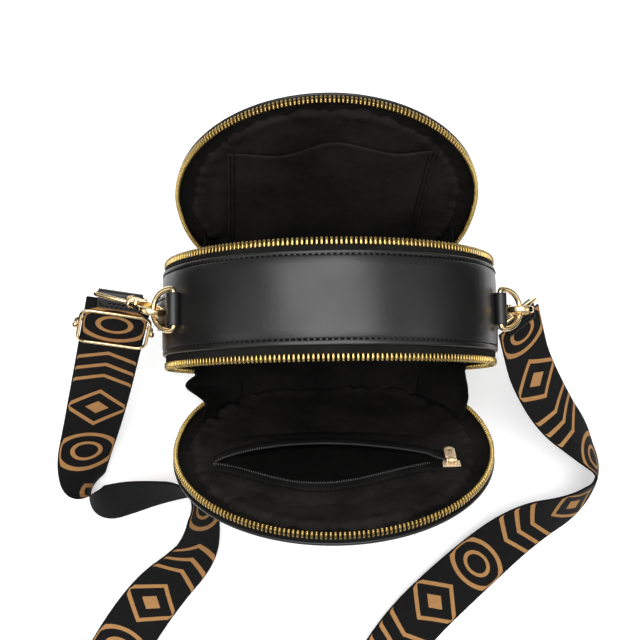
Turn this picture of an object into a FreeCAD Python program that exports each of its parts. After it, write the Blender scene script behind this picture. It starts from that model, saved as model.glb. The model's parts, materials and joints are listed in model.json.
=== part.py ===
import FreeCAD, Part
import math
import os

# Circle bag, a round two-compartment crossbody bag on a webbing strap, standing with both zips open.
# Millimetres. X is right, Y is back, Z is up. The origin is on the table under the middle of the band.

os.makedirs("parts", exist_ok=True)
Vector = FreeCAD.Vector

# Round body
bag_diameter = 190.0
bottom_flat = 2.6
band_width = 45.0
leather = 1.6
board = 1.0
lining = 0.7
lining_reach = 3.0
divider_thickness = 1.0

# Zips round the two rims
tape_reveal = 4.2
tape_seam = 4.0
tape_tail = 15.0
tape_thickness = 0.8
tooth_length = 3.7
tooth_height = 3.2
tooth_pitch = 2.5
tooth_gap_share = 0.4
tooth_notch_share = 0.35
chain_gap = 0.2
zip_end_angle = 44.0
stop_length = 2.5
stop_wall = 0.8

# Panels, turned open about a line near the table
panel_depth = 9.6
panel_reveal = 2.2
panel_lift = 6.8
panel_edge_round = 1.4
hinge_height = 6.3
front_open_angle = 28.2
back_open_angle = 24.2

# Cloth and leather that bend with the panels
soft_gap = 0.35
strip_thickness = 1.2
strip_steps = 14
wing_thickness = 0.6
wing_steps = 8
wing_hem = 2.0
wing_setback = 4.0
wing_bulge = 5.0
wing_low_angle = 66.0
wing_high_angle = 21.0

# Pockets on the two linings
pocket_space = 0.9
pocket_side_room = 22.5
pocket_gape = 9.0
pocket_end_gap = 0.2
pocket_rise = 21.5
pocket_tape = 6.0
pocket_tape_thickness = 0.8
pocket_bag_fabric = 0.7
pocket_bag_margin = 5.0
pocket_bag_drop = 62.0
slip_top_room = 40.0
slip_bottom_room = 38.0
slip_top_rise = 45.5
slip_bottom_drop = 40.0
slip_fabric = 0.7
slip_stand_off = 3.0
slip_steps = 8

# Zip sliders and their pulls
slider_length = 11.0
slider_plate = 1.0
slider_gap = 0.35
slider_park_gap = 1.0
slider_flange = 0.6
slider_neck = 1.4
slider_neck_length = 2.2
lug_thickness = 0.9
lug_rise = 3.1
lug_length = 2.6
pivot_radius = 0.7
pivot_gap = 0.05
pull_eye_radius = 1.45
pull_neck_width = 3.0
pull_width = 7.0
pull_thickness = 1.4
pull_length = 16.0
pull_side_gap = 0.4
pocket_slider_length = 10.0
pocket_slider_width = 6.0
pocket_pull_length = 14.0
pocket_pull_width = 6.0

# Rings for the strap and the tabs that hold them
left_ring_angle = 33.0
right_ring_angle = 18.0
ring_wire = 1.5
ring_inside = 19.0
ring_leg = 2.7
ring_fall_angle = 30.0
tab_width = 17.5
tab_leather = 1.5
tab_tail = 34.0

# Swivel clasps
eye_radius = 4.8
hook_width = 2.8
hook_thickness = 4.2
hook_tip = 1.0
ring_seat = 1.5
body_start = 10.5
body_length = 6.5
gate_gap = 0.45
gate_width = 2.2
gate_thickness = 2.0
gate_eye_radius = 1.7
gate_slot_gap = 0.2
gate_pin_depth = 12.8
gate_knob_radius = 1.3
gate_knob_height = 2.6
gate_knob_depth = 7.0
stem_radius = 1.8
collar_radius = 3.2
collar_length = 2.6
collar_gap = 0.3
head_radius = 2.7
head_length = 1.6
loop_rod = 1.2
loop_shoulder = 5.0
loop_knee = 4.6

# Strap, its leather ends and its adjuster
strap_width = 36.0
strap_thickness = 1.6
strap_span_steps = 4
end_width = 24.5
end_length = 9.0
end_leather = 1.4
end_gap = 0.25
end_inset = 4.5
slide_length = 28.0
slide_wire = 1.2
slide_gap = 0.6
slide_side_gap = 1.2
slide_ball = 2.0
slide_reach = 25.0
overrun = 5.0

# Strap route from the left clasp, over the table in front, to the right clasp: a point, then the
# direction of the edge that starts out on the right
strap_route = [
    (-117.1, 7.9, 114.2, 0.93, -0.14, -0.27),
    (-126.1, -11.0, 91.3, 0.93, -0.14, -0.27),
    (-138.0, -36.0, 61.0, 0.93, -0.14, -0.27),
    (-150.0, -63.0, 34.0, 0.84, -0.12, -0.53),
    (-158.0, -83.0, 22.6, 0.65, -0.30, -0.69),
    (-159.0, -103.0, 18.6, 0.42, -0.50, -0.76),
    (-147.0, -112.0, 17.6, 0.15, -0.64, -0.76),
    (-131.0, -108.0, 16.6, 0.00, -0.63, -0.78),
    (-115.0, -105.0, 17.0, 0.00, -0.48, -0.88),
    (-94.0, -103.0, 19.0, 0.10, -0.30, -0.95),
    (-82.0, -113.0, 19.0, 0.35, -0.15, -0.92),
    (-82.0, -129.0, 18.0, 0.50, -0.05, -0.87),
    (-89.0, -148.0, 14.0, 0.68, -0.35, -0.65),
    (-113.0, -169.0, 9.0, 0.80, -0.50, -0.35),
    (-137.0, -202.0, 5.0, 0.83, -0.55, -0.12),
    (-158.0, -241.0, 5.0, 0.96, -0.25, 0.12),
    (-160.0, -288.0, 9.0, 0.89, 0.25, 0.38),
    (-132.0, -325.0, 11.0, 0.53, 0.70, 0.48),
    (-88.0, -338.0, 11.0, 0.00, 0.88, 0.48),
    (-45.0, -325.0, 10.0, -0.47, 0.80, 0.40),
    (-13.0, -290.0, 8.0, -0.75, 0.60, 0.30),
    (15.0, -246.0, 5.0, -0.82, 0.55, 0.15),
    (43.0, -199.0, 4.0, -0.71, 0.71, 0.08),
    (86.0, -160.0, 5.0, -0.66, 0.73, 0.15),
    (123.0, -130.0, 10.0, -0.58, 0.68, 0.45),
    (156.0, -117.0, 17.0, -0.30, 0.40, 0.86),
    (174.0, -97.0, 20.0, -0.20, 0.05, 0.98),
    (159.0, -75.0, 28.0, -0.62, -0.25, 0.74),
    (138.0, -56.0, 42.0, -0.76, -0.36, 0.54),
    (121.0, -31.0, 62.0, -0.74, -0.54, 0.40),
    (115.4, -15.8, 73.0, -0.74, -0.54, 0.40),
    (110.9, -2.7, 82.8, -0.74, -0.54, 0.40),
]
strap_cut_steps = (11, 22)
# From each ring's wire to that end of the strap
left_reach = (-23.0, 7.9, -24.75)
right_reach = (5.78, -2.7, -33.05)

# Sizes that follow from those above
bag_radius = bag_diameter / 2
pocket_half_length = bag_radius - pocket_side_room
slip_top_half = bag_radius - slip_top_room
slip_bottom_half = bag_radius - slip_bottom_room
half_band = band_width / 2
centre_z = bag_radius - bottom_flat
close_y = half_band + tape_reveal + tooth_length + chain_gap
chain_radius = bag_radius - leather - board / 2
lining_depth = leather + board + lining
panel_flat = panel_lift + bottom_flat
rim_q = chain_gap + tooth_length + panel_reveal
face_q = panel_depth - leather
board_q = face_q - board
tail_angle = math.degrees(tape_tail / chain_radius)
slider_angle = -zip_end_angle - math.degrees((slider_length / 2 + slider_park_gap) / chain_radius)
channel = tooth_height / 2 + slider_gap
slider_half_width = tooth_length + chain_gap + slider_gap + slider_flange
ring_half = ring_inside / 2 + ring_wire
tab_radius = ring_wire + pivot_gap + tab_leather
middle = Vector(0, 0, centre_z)
x_axis, y_axis, z_axis = Vector(1, 0, 0), Vector(0, 1, 0), Vector(0, 0, 1)
fall = math.radians(ring_fall_angle)
left_fall = Vector(-math.cos(fall), 0, -math.sin(fall))
right_fall = Vector(math.cos(fall), 0, -math.sin(fall))


def save(name, shape):
    shape.exportStep("parts/" + name + ".step")


def block(x0, x1, y0, y1, z0, z1):
    return Part.makeBox(x1 - x0, y1 - y0, z1 - z0, Vector(x0, y0, z0))


def rod(start, end, radius):
    return Part.makeCylinder(radius, (end - start).Length, start, end - start)


def joined(shapes):
    return shapes[0].multiFuse(shapes[1:]).removeSplitter()


def unit(vector):
    return Vector(vector).normalize()


def across_to(vector, direction):
    # The part of a direction that is square to another one
    return unit(vector - direction * vector.dot(direction))


def place(shape, origin, ax, ay, az):
    rows = (ax.x, ay.x, az.x, origin.x, ax.y, ay.y, az.y, origin.y, ax.z, ay.z, az.z, origin.z)
    moved = shape.copy()
    moved.Placement = FreeCAD.Placement(FreeCAD.Matrix(*rows, 0, 0, 0, 1)).multiply(moved.Placement)
    return moved


def turned(shape, centre, axis, angle):
    moved = shape.copy()
    moved.rotate(centre, axis, angle)
    return moved


def to_back(shape):
    return turned(shape, Vector(0, 0, 0), z_axis, 180)


def polar(radius, angle, y):
    a = math.radians(angle)
    return Vector(radius * math.cos(a), y, centre_z + radius * math.sin(a))


def front_y(q):
    # Y of a plane q outside the front closing plane, with the panel shut
    return -(close_y + q)


def hinge_point():
    return Vector(0, front_y(0), hinge_height)


def opened(shape, angle):
    return turned(shape, hinge_point(), x_axis, angle)


def opened_point(point, angle):
    return FreeCAD.Rotation(x_axis, angle).multVec(point - hinge_point()) + hinge_point()


def outline(inset, flat, y):
    # The bag's circle, drawn in by an inset and pressed flat at the bottom
    radius = bag_radius - inset
    drop = bag_radius - flat - inset
    half = math.sqrt(radius ** 2 - drop ** 2)
    right = Vector(half, y, centre_z - drop)
    left = Vector(-half, y, centre_z - drop)
    arc = Part.Arc(right, Vector(0, y, centre_z + radius), left).toShape()
    return Part.Wire([arc, Part.makeLine(left, right)])


def slab(inset, flat, y0, y1):
    return Part.Face(outline(inset, flat, y0)).extrude(Vector(0, y1 - y0, 0))


def hoop(outer_inset, inner_inset, y0, y1):
    return slab(outer_inset, bottom_flat, y0, y1).cut(slab(inner_inset, bottom_flat, y0, y1))


def sector(r0, r1, a0, a1, y0, y1):
    mid = (a0 + a1) / 2
    outer = Part.Arc(polar(r1, a0, y0), polar(r1, mid, y0), polar(r1, a1, y0)).toShape()
    inner = Part.Arc(polar(r0, a1, y0), polar(r0, mid, y0), polar(r0, a0, y0)).toShape()
    sides = [Part.makeLine(polar(r1, a1, y0), polar(r0, a1, y0)),
             Part.makeLine(polar(r0, a0, y0), polar(r1, a0, y0))]
    return Part.Face(Part.Wire([outer, sides[0], inner, sides[1]])).extrude(Vector(0, y1 - y0, 0))


def zip_tape(y0, y1):
    start, end = -zip_end_angle - tail_angle, 180 + zip_end_angle + tail_angle
    half = tape_thickness / 2
    return sector(chain_radius - half, chain_radius + half, start, end, y0, y1)


def zip_teeth(y0, y1):
    # One row of teeth, as ridges round a rail
    inner = chain_radius - tooth_height / 2
    crown = chain_radius + tooth_height / 2
    notch = crown - tooth_height * tooth_notch_share
    sweep = 180 + 2 * zip_end_angle
    count = int(math.radians(sweep) * chain_radius / tooth_pitch)
    step = sweep / count
    outside, inside = [], []
    for i in range(count):
        start = -zip_end_angle + step * i
        ridge = start + step * tooth_gap_share
        outside += [polar(notch, start, y0), polar(notch, ridge, y0), polar(crown, ridge, y0),
                    polar(crown, start + step, y0)]
        inside.append(polar(inner, start, y0))
    inside.append(polar(inner, 180 + zip_end_angle, y0))
    points = outside + inside[::-1]
    face = Part.Face(Part.makePolygon(points + points[:1]))
    return face.extrude(Vector(0, y1 - y0, 0))


def triangle(a, b, c):
    return Part.Face(Part.makePolygon([a, b, c, a]))


def skin(uppers, lowers):
    # A closed thin solid between two matching grids of points
    faces = []
    rows, columns = len(uppers), len(uppers[0])
    last, edge = rows - 1, columns - 1

    def patch(a, b, c, d):
        faces.append(triangle(a, b, c))
        faces.append(triangle(a, c, d))

    for i in range(last):
        for j in range(edge):
            patch(uppers[i][j], uppers[i + 1][j], uppers[i + 1][j + 1], uppers[i][j + 1])
            patch(lowers[i][j], lowers[i][j + 1], lowers[i + 1][j + 1], lowers[i + 1][j])
        patch(uppers[i][0], lowers[i][0], lowers[i + 1][0], uppers[i + 1][0])
        patch(uppers[i][edge], uppers[i + 1][edge], lowers[i + 1][edge], lowers[i][edge])
    for j in range(edge):
        patch(uppers[0][j], uppers[0][j + 1], lowers[0][j + 1], lowers[0][j])
        patch(uppers[last][j], lowers[last][j], lowers[last][j + 1], uppers[last][j + 1])
    shell = Part.makeShell(faces)
    shell.sewShape()
    solid = Part.makeSolid(shell)
    if solid.Volume < 0:
        solid.reverse()
    return solid


def thickened(grid, thickness):
    # Two grids, half a thickness to either side of a middle grid
    uppers, lowers = [], []
    last, edge = len(grid) - 1, len(grid[0]) - 1
    for i, row in enumerate(grid):
        upper, lower = [], []
        for j, point in enumerate(row):
            along = grid[min(i + 1, last)][j] - grid[max(i - 1, 0)][j]
            beside = row[min(j + 1, edge)] - row[max(j - 1, 0)]
            offset = unit(along.cross(beside)) * (thickness / 2)
            upper.append(point + offset)
            lower.append(point - offset)
        uppers.append(upper)
        lowers.append(lower)
    return uppers, lowers


def sheet(grid, thickness):
    return skin(*thickened(grid, thickness))


# Band, lining and divider
def rim_point(inset, flat, angle, y):
    drop = bag_radius - flat - inset
    radius = min(bag_radius - inset, drop / abs(math.sin(math.radians(angle))))
    return polar(radius, angle, y)


def gusset():
    save("gusset_band", hoop(0, leather, -half_band, half_band))
    seam = half_band - tape_seam
    save("gusset_stiffener", hoop(leather, leather + board, -seam, seam))
    reach = half_band + lining_reach
    save("gusset_lining", hoop(leather + board, lining_depth, -reach, reach))
    half = divider_thickness / 2
    save("compartment_divider", slab(lining_depth, bottom_flat, -half, half))


def rim_zip(name, move):
    tape_end = half_band + tape_reveal
    save(name + "_gusset_tape", move(zip_tape(-half_band + tape_seam, -tape_end)))
    save(name + "_gusset_teeth", move(zip_teeth(-tape_end, -tape_end - tooth_length)))
    past = math.degrees((slider_neck_length + 2 * slider_gap) / chain_radius)
    start = 180 + zip_end_angle + past
    end = start + math.degrees(stop_length / chain_radius)
    face = chain_radius + tape_thickness / 2
    stop = sector(face, face + stop_wall, start, end, -half_band - stop_wall, -tape_end)
    save(name + "_zip_stop", move(stop))


# Panels and what is on their linings
def panel(name, angle, space, move):
    def set_open(shape):
        return move(opened(shape, angle))

    edge_q = panel_depth - panel_edge_round
    wall = slab(0, panel_flat, front_y(rim_q), front_y(edge_q))
    edge = Part.makeCone(bag_radius, bag_radius - panel_edge_round, panel_edge_round,
                         Vector(0, front_y(edge_q), centre_z), y_axis * -1)
    edge = edge.cut(block(-bag_radius, bag_radius, front_y(panel_depth), front_y(edge_q),
                          centre_z - bag_radius, panel_lift))
    hollow = slab(leather, panel_flat, front_y(rim_q), front_y(face_q))
    pan = joined([wall, edge]).cut(hollow)
    save(name + "_panel_leather", set_open(pan))
    save(name + "_panel_board", set_open(slab(leather, panel_flat, front_y(board_q), front_y(face_q))))
    lining_q = board_q - space
    cloth = slab(leather + board, panel_flat, front_y(lining_q - lining), front_y(lining_q))
    if space:
        cloth = cloth.cut(pocket_mouth(lining_q))
    save(name + "_panel_lining", set_open(cloth))
    teeth_q = chain_gap + tooth_length
    save(name + "_panel_tape", set_open(zip_tape(front_y(teeth_q), front_y(board_q))))
    save(name + "_panel_teeth", set_open(zip_teeth(front_y(chain_gap), front_y(teeth_q))))
    return set_open


def pocket_point(x, z, q):
    return Vector(x, front_y(q), centre_z + pocket_rise + z)


def lip(side, q, outset):
    # One lip of the pocket's mouth, from its left end to its right end
    end = side * (pocket_end_gap + outset)
    crest = side * (pocket_gape + outset)
    ends = [pocket_point(-pocket_half_length, end, q), pocket_point(pocket_half_length, end, q)]
    return Part.Arc(ends[0], pocket_point(0, crest, q), ends[1]).toShape(), ends


def band_between(first, second):
    sides = [Part.makeLine(first[1][k], second[1][k]) for k in (0, 1)]
    return Part.Face(Part.Wire(Part.__sortEdges__([first[0], second[0]] + sides)))


def pocket_mouth(lining_q):
    face = band_between(lip(1, lining_q, 0), lip(-1, lining_q, 0))
    return face.extrude(Vector(0, lining, 0))


def zip_pocket(set_open):
    lining_q = board_q - pocket_space
    tape_q = lining_q - lining
    for name, side in (("upper", 1), ("lower", -1)):
        face = band_between(lip(side, tape_q, 0), lip(side, tape_q, pocket_tape))
        save("pocket_" + name + "_zip", set_open(face.extrude(Vector(0, pocket_tape_thickness, 0))))
    back_q = board_q - (pocket_space - pocket_bag_fabric) / 2
    half = pocket_half_length + pocket_bag_margin
    low = centre_z + pocket_rise - pocket_bag_drop
    high = centre_z + pocket_rise + pocket_gape + pocket_bag_margin
    bag = block(-half, half, front_y(back_q), front_y(back_q - pocket_bag_fabric), low, high)
    save("pocket_bag", set_open(bag))


def slip_pocket(set_open):
    # A flat patch pocket, sewn round three sides, whose top edge stands off a little
    lining_q = board_q - lining - slip_fabric / 2
    grid = []
    for i in range(slip_steps + 1):
        up = i / slip_steps
        half = slip_bottom_half + (slip_top_half - slip_bottom_half) * up
        row = []
        for j in range(slip_steps + 1):
            over = 2 * j / slip_steps - 1
            q = lining_q - slip_stand_off * up ** 2 * (1 - over ** 2)
            z = centre_z - slip_bottom_drop + (slip_bottom_drop + slip_top_rise) * up
            row.append(Vector(half * over, front_y(q), z))
        grid.append(row)
    save("slip_pocket", set_open(sheet(grid, slip_fabric)))


# Cloth and leather that bridge the panels and the band
def hinge_strip(name, angle, move):
    first = 180 + zip_end_angle + tail_angle
    last = 360 - zip_end_angle - tail_angle
    grid = []
    for i in range(strip_steps + 1):
        a = first + (last - first) * i / strip_steps
        start = rim_point(leather / 2, bottom_flat, a, -half_band - soft_gap)
        knee = rim_point(leather / 2, bottom_flat, a, -half_band - lining_reach - strip_thickness)
        end = opened_point(rim_point(leather / 2, panel_flat, a, front_y(rim_q - 2 * soft_gap)), angle)
        grid.append([start, knee, end])
    save(name + "_hinge_strip", move(sheet(grid, strip_thickness)))


def wings(name, angle, space, move):
    lining_q = board_q - space - lining - soft_gap - wing_thickness
    outer = bag_radius - lining_depth - wing_thickness / 2
    inner = chain_radius - channel - slider_plate - soft_gap - wing_thickness
    for side, sign in (("left", -1), ("right", 1)):
        grid = []
        for i in range(wing_steps + 1):
            up = i / wing_steps
            a = wing_low_angle + (wing_high_angle - wing_low_angle) * up

            def on_rim(radius, y):
                point = polar(radius, -a, y)
                return Vector(sign * point.x, point.y, point.z)

            hem = on_rim(outer, -half_band + wing_hem)
            edge = on_rim(inner, -half_band - lining_reach)
            end = opened_point(on_rim(inner - wing_setback, front_y(lining_q)), angle)
            bulge = unit(Vector(0, edge.y, centre_z) - edge) * (wing_bulge * up)
            grid.append([hem, edge, (edge + end) * 0.5 + bulge, end])
        save(name + "_" + side + "_wing", move(sheet(grid, wing_thickness)))


# Zip sliders, with a pull on a cross pin
def pull(length, width, neck_from):
    # A pull on its eye at the origin, lying along X with its pin along Y
    half_neck, half = pull_neck_width / 2, width / 2
    thin = pull_thickness / 2
    eye = Part.makeCylinder(pull_eye_radius, pull_neck_width, Vector(0, -half_neck, 0), y_axis)
    neck = block(0, neck_from, -half_neck, half_neck, -thin, thin)
    tab = block(neck_from, length - half, -half, half, -thin, thin)
    tip = Part.makeCylinder(half, pull_thickness, Vector(length - half, 0, -thin), z_axis)
    hole = Part.makeCylinder(pivot_radius + pivot_gap, pull_neck_width, Vector(0, -half_neck, 0), y_axis)
    window = Part.makeCylinder(half / 2, pull_thickness, Vector(length - half, 0, -thin), z_axis)
    return joined([eye, neck, tab, tip]).cut(hole).cut(window)


def lugs(x, y, z):
    # Two ears and the pin between them, standing along X from a plate
    inner = pull_neck_width / 2 + pull_side_gap
    outer = inner + lug_thickness
    pin_x = x + lug_rise - lug_length / 2
    ears = []
    for side in (-1, 1):
        low, high = sorted((side * inner, side * outer))
        ears.append(block(x, pin_x, y + low, y + high, z - lug_length / 2, z + lug_length / 2))
        ears.append(Part.makeCylinder(lug_length / 2, lug_thickness, Vector(pin_x, y + low, z), y_axis))
    ears.append(Part.makeCylinder(pivot_radius, 2 * inner, Vector(pin_x, y - inner, z), y_axis))
    return ears, Vector(pin_x, y, z)


def rim_slider(name, move):
    y = front_y(0)
    half = slider_length / 2
    low, high = centre_z - half, centre_z + half
    slot = tape_thickness / 2 + slider_gap
    pieces = []
    for side in (-1, 1):
        near = chain_radius + side * channel
        x = sorted((near, near + side * slider_plate))
        pieces.append(block(*x, y - slider_half_width, y + slider_half_width, low, high))
        x = sorted((chain_radius + side * slot, near))
        for edge in (-1, 1):
            ys = sorted((y + edge * slider_half_width, y + edge * (slider_half_width - slider_flange)))
            pieces.append(block(*x, *ys, low, high))
    neck_y = y - chain_gap / 2
    pieces.append(block(chain_radius - channel, chain_radius + channel, neck_y - slider_neck, neck_y,
                        high - slider_neck_length, high))
    ears, pin = lugs(chain_radius + channel + slider_plate, y, centre_z)
    tab = pull(pull_length, pull_width, lug_rise)
    tab.translate(pin)
    tab.rotate(pin, y_axis, 90 + slider_angle)
    for node, shape in ((name + "_zip_slider", joined(pieces + ears)), (name + "_zip_pull", tab)):
        save(node, move(turned(shape, middle, y_axis, -slider_angle)))


def pocket_slider(set_open):
    tape_q = board_q - pocket_space - lining - pocket_tape_thickness
    end = pocket_half_length - slider_gap
    start = end - pocket_slider_length
    half = pocket_slider_width / 2
    top = tape_q - slider_gap - slider_plate
    z = centre_z + pocket_rise
    plate = block(start, end, front_y(tape_q - slider_gap), front_y(top), z - half, z + half)
    thin = slider_neck / 2
    neck = block(start, start + slider_neck_length, front_y(tape_q + pocket_tape_thickness / 2),
                 front_y(tape_q - slider_gap), z - thin, z + thin)
    ears, pin = lugs(0, 0, 0)
    seat = Vector((start + end) / 2, front_y(top), z)
    ears = [place(ear, seat, y_axis, x_axis, z_axis * -1) for ear in ears]
    pin = place(Part.Vertex(pin), seat, y_axis, x_axis, z_axis * -1).Point
    save("pocket_slider", set_open(joined([plate, neck] + ears)))
    tab = pull(pocket_pull_length, pocket_pull_width, lug_rise)
    save("pocket_pull", set_open(place(tab, pin, z_axis * -1, x_axis, y_axis * -1)))


# Tabs, rings, clasps and the strap's ends, one set a side
def ring_tab(name, angle, mirror):
    half = tab_width / 2
    tail = math.degrees(tab_tail / bag_radius)
    seat = polar(bag_radius + tab_radius, angle, -half)
    strip = sector(bag_radius, bag_radius + tab_leather, angle - tail, angle, -half, half)
    tube = Part.makeCylinder(tab_radius, tab_width, seat, y_axis)
    hole = Part.makeCylinder(ring_wire + pivot_gap, tab_width, seat, y_axis)
    save(name + "_ring_tab", mirror(joined([strip, tube]).cut(hole)))


def d_ring():
    # The straight bar lies along Y at the origin and the bow reaches along X
    ends = [Vector(0, side * ring_half, 0) for side in (-1, 1)]
    legs = [Vector(ring_leg, side * ring_half, 0) for side in (-1, 1)]
    bow = Part.Face(Part.Wire(Part.makeCircle(ring_wire, legs[0], x_axis)))
    bow = bow.revolve(Vector(ring_leg, 0, 0), z_axis, 180)
    pieces = [rod(ends[0], ends[1], ring_wire), bow]
    for end, leg in zip(ends, legs):
        pieces.append(rod(end, leg, ring_wire))
        pieces.append(Part.makeSphere(ring_wire, end))
    return joined(pieces)


def clasp_hook():
    # The eye's middle is the origin, the stem runs down Z and the hook lies in the XZ plane
    outer = eye_radius + hook_width
    half = hook_thickness / 2
    body_end = body_start + body_length
    ring = Part.makeCylinder(outer, hook_thickness, Vector(0, -half, 0), y_axis)
    ring = ring.cut(Part.makeCylinder(eye_radius, hook_thickness, Vector(0, -half, 0), y_axis))
    ring = ring.cut(block(-outer, 0, -half, half, 0, outer))
    ring = ring.cut(block(0, outer, -half, half, hook_tip, outer))
    spine = block(-outer, -eye_radius, -half, half, 0, body_end)
    body = block(-outer, outer, -half, half, body_start, body_end)
    slot = gate_thickness / 2 + gate_slot_gap
    pocket = gate_pin_depth + gate_eye_radius + gate_gap
    body = body.cut(block(eye_radius - gate_eye_radius - gate_gap, outer, -slot, slot, body_start, pocket))
    pin = Vector(gate_pin_x(), -half, gate_pin_depth)
    body = body.cut(Part.makeCylinder(pivot_radius, hook_thickness, pin, y_axis))
    head = body_end + 2 * collar_gap + collar_length
    stem = rod(Vector(0, 0, body_end), Vector(0, 0, head), stem_radius)
    cap = rod(Vector(0, 0, head), Vector(0, 0, head + head_length), head_radius)
    return joined([ring, spine, body, stem, cap])


def gate_pin_x():
    return eye_radius + gate_width / 2


def clasp_gate():
    half = gate_thickness / 2
    top = hook_tip + gate_gap
    pin = Vector(gate_pin_x(), -half, gate_pin_depth)
    bar = block(eye_radius, eye_radius + gate_width, -half, half, top, gate_pin_depth)
    eye = Part.makeCylinder(gate_eye_radius, gate_thickness, pin, y_axis)
    knob = Vector(gate_pin_x(), half, gate_knob_depth)
    stud = Part.makeCylinder(gate_knob_radius, gate_knob_height, knob, y_axis)
    hole = Part.makeCylinder(pivot_radius + pivot_gap, gate_thickness, pin, y_axis)
    return joined([bar, eye, stud]).cut(hole)


def gate_pin():
    half = hook_thickness / 2
    seat = Vector(gate_pin_x(), -half, gate_pin_depth)
    return Part.makeCylinder(pivot_radius, hook_thickness, seat, y_axis)


def swivel_loop(collar, axis, bar, bar_way):
    # A collar on the stem, and a loop of rod down to the bar that carries the strap's end
    half = end_width / 2 + end_gap + loop_rod
    shoulder = across_to(bar_way, axis) * loop_shoulder
    rise = across_to(collar - bar, bar_way) * loop_knee
    ends = [bar - bar_way * half, bar + bar_way * half]
    knees = [end + rise for end in ends]
    tops = [collar - shoulder, collar + shoulder]
    pieces = [rod(collar - axis * (collar_length / 2), collar + axis * (collar_length / 2), collar_radius)]
    corners = [tops[0], knees[0], ends[0], ends[1], knees[1], tops[1]]
    for start, end in zip(corners, corners[1:] + corners[:1]):
        pieces.append(rod(start, end, loop_rod))
        pieces.append(Part.makeSphere(loop_rod, end))
    reach = collar_length / 2 + overrun
    return joined(pieces).cut(rod(collar - axis * reach, collar + axis * reach, stem_radius + pivot_gap))


def strap_end():
    # A leather strip folded round the bar: X is across, Z is along the strap, Y is its thickness
    half = end_width / 2
    bore = loop_rod + pivot_gap
    gap = strap_thickness / 2 + end_gap
    tube = Part.makeCylinder(bore + end_leather, end_width, Vector(-half, 0, 0), x_axis)
    plates = block(-half, half, -gap - end_leather, gap + end_leather, 0, end_length)
    hole = Part.makeCylinder(bore, end_width, Vector(-half, 0, 0), x_axis)
    return joined([tube, plates]).cut(hole).cut(block(-half, half, -gap, gap, 0, end_length))


def ring_place(angle):
    return polar(bag_radius + tab_radius, angle, 0)


def strap_side(name, angle, mirror, fall, first, second, edge):
    ring_tab(name, angle, mirror)
    seat = mirror(Part.Vertex(ring_place(angle))).Point
    save(name + "_d_ring", place(d_ring(), seat, fall, y_axis, fall.cross(y_axis)))
    wire = seat + fall * (ring_leg + ring_half)
    way = unit(second - first)
    bar = first - way * end_inset
    bar_way = across_to(edge, way)
    axis = unit(bar - wire)
    eye = wire + axis * ring_seat
    plane = across_to(y_axis, axis)
    shapes = {"clasp_hook": clasp_hook(), "clasp_gate": clasp_gate(), "gate_pin": gate_pin()}
    for node, shape in shapes.items():
        save(name + "_" + node, place(shape, eye, plane.cross(axis), plane, axis))
    collar = eye + axis * (body_start + body_length + collar_gap + collar_length / 2)
    save(name + "_swivel_loop", swivel_loop(collar, axis, bar, bar_way))
    save(name + "_strap_end", place(strap_end(), bar, bar_way, way.cross(bar_way), way))
    for label, point in (("ring bar", seat), ("ring wire", wire), ("eye", eye), ("collar", collar)):
        print(name, label, [round(v, 2) for v in point])
    print(name, "clasp axis", [round(v, 4) for v in axis], "plane", [round(v, 4) for v in plane])
    pin = eye + plane.cross(axis) * gate_pin_x() + axis * gate_pin_depth
    print(name, "gate pin", [round(v, 2) for v in pin])


# Strap
def route_rows():
    # The route, with its ends drawn along to where the rings put them and its low part left on the table
    left_wire = to_left(Part.Vertex(ring_place(left_ring_angle))).Point + left_fall * (ring_leg + ring_half)
    right_wire = ring_place(right_ring_angle) + right_fall * (ring_leg + ring_half)
    rows = []
    for x, y, z, *edge in strap_route:
        wire, reach, end = (left_wire, left_reach, 0) if x < 0 else (right_wire, right_reach, -1)
        drawn = Vector(*strap_route[end][:3])
        shift = wire + Vector(*reach) - drawn
        beside = min(1, x / drawn.x)
        above = max(0, z - strap_width) / (drawn.z - strap_width)
        rows.append((x + shift.x * beside, y + shift.y * above, z + shift.z * above, *edge))
    return rows


def spline_share(i, degree, t, knots):
    if degree == 0:
        return 1.0 if knots[i] <= t < knots[i + 1] else 0.0
    share = 0.0
    for k, sign in ((i, 1), (i + 1, -1)):
        spread = knots[k + degree] - knots[k]
        if spread:
            way = (t - knots[k]) if sign > 0 else (knots[k + degree] - t)
            share += way / spread * spline_share(k, degree - 1, t, knots)
    return share


def strap_grid():
    # Rows of two edge points along a smooth curve that the route's points steer
    rows = route_rows()
    count = len(rows)
    spans = count - 2
    knots = [0, 0] + list(range(spans + 1)) + [spans, spans]
    middles, edges = [], []
    for i in range(spans * strap_span_steps + 1):
        t = min(i / strap_span_steps, spans - 1e-9)
        sums = [0.0] * 6
        for k in range(count):
            share = spline_share(k, 2, t, knots)
            if share:
                sums = [total + share * value for total, value in zip(sums, rows[k])]
        middles.append(Vector(*sums[:3]))
        edges.append(Vector(*sums[3:]))
    grid, last = [], len(middles) - 1
    for i, point in enumerate(middles):
        way = unit(middles[min(i + 1, last)] - middles[max(i - 1, 0)])
        side = across_to(edges[i], way) * (strap_width / 2)
        grid.append([point - side, point + side])
    print("strap length", round(sum((b - a).Length for a, b in zip(middles, middles[1:])), 1))
    print("strap lowest", round(min(point.z for row in grid for point in row), 2))
    bends = [bend_radius(*middles[i - 1:i + 2]) for i in range(1, last)]
    print("strap tightest bend radius", round(min(bends), 1), "widest", round(max(bends), 1))
    return grid


def bend_radius(a, b, c):
    first, second = b - a, c - b
    turn = first.cross(second).Length
    if not turn:
        return math.inf
    return first.Length * second.Length * (c - a).Length / (2 * turn)


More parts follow.
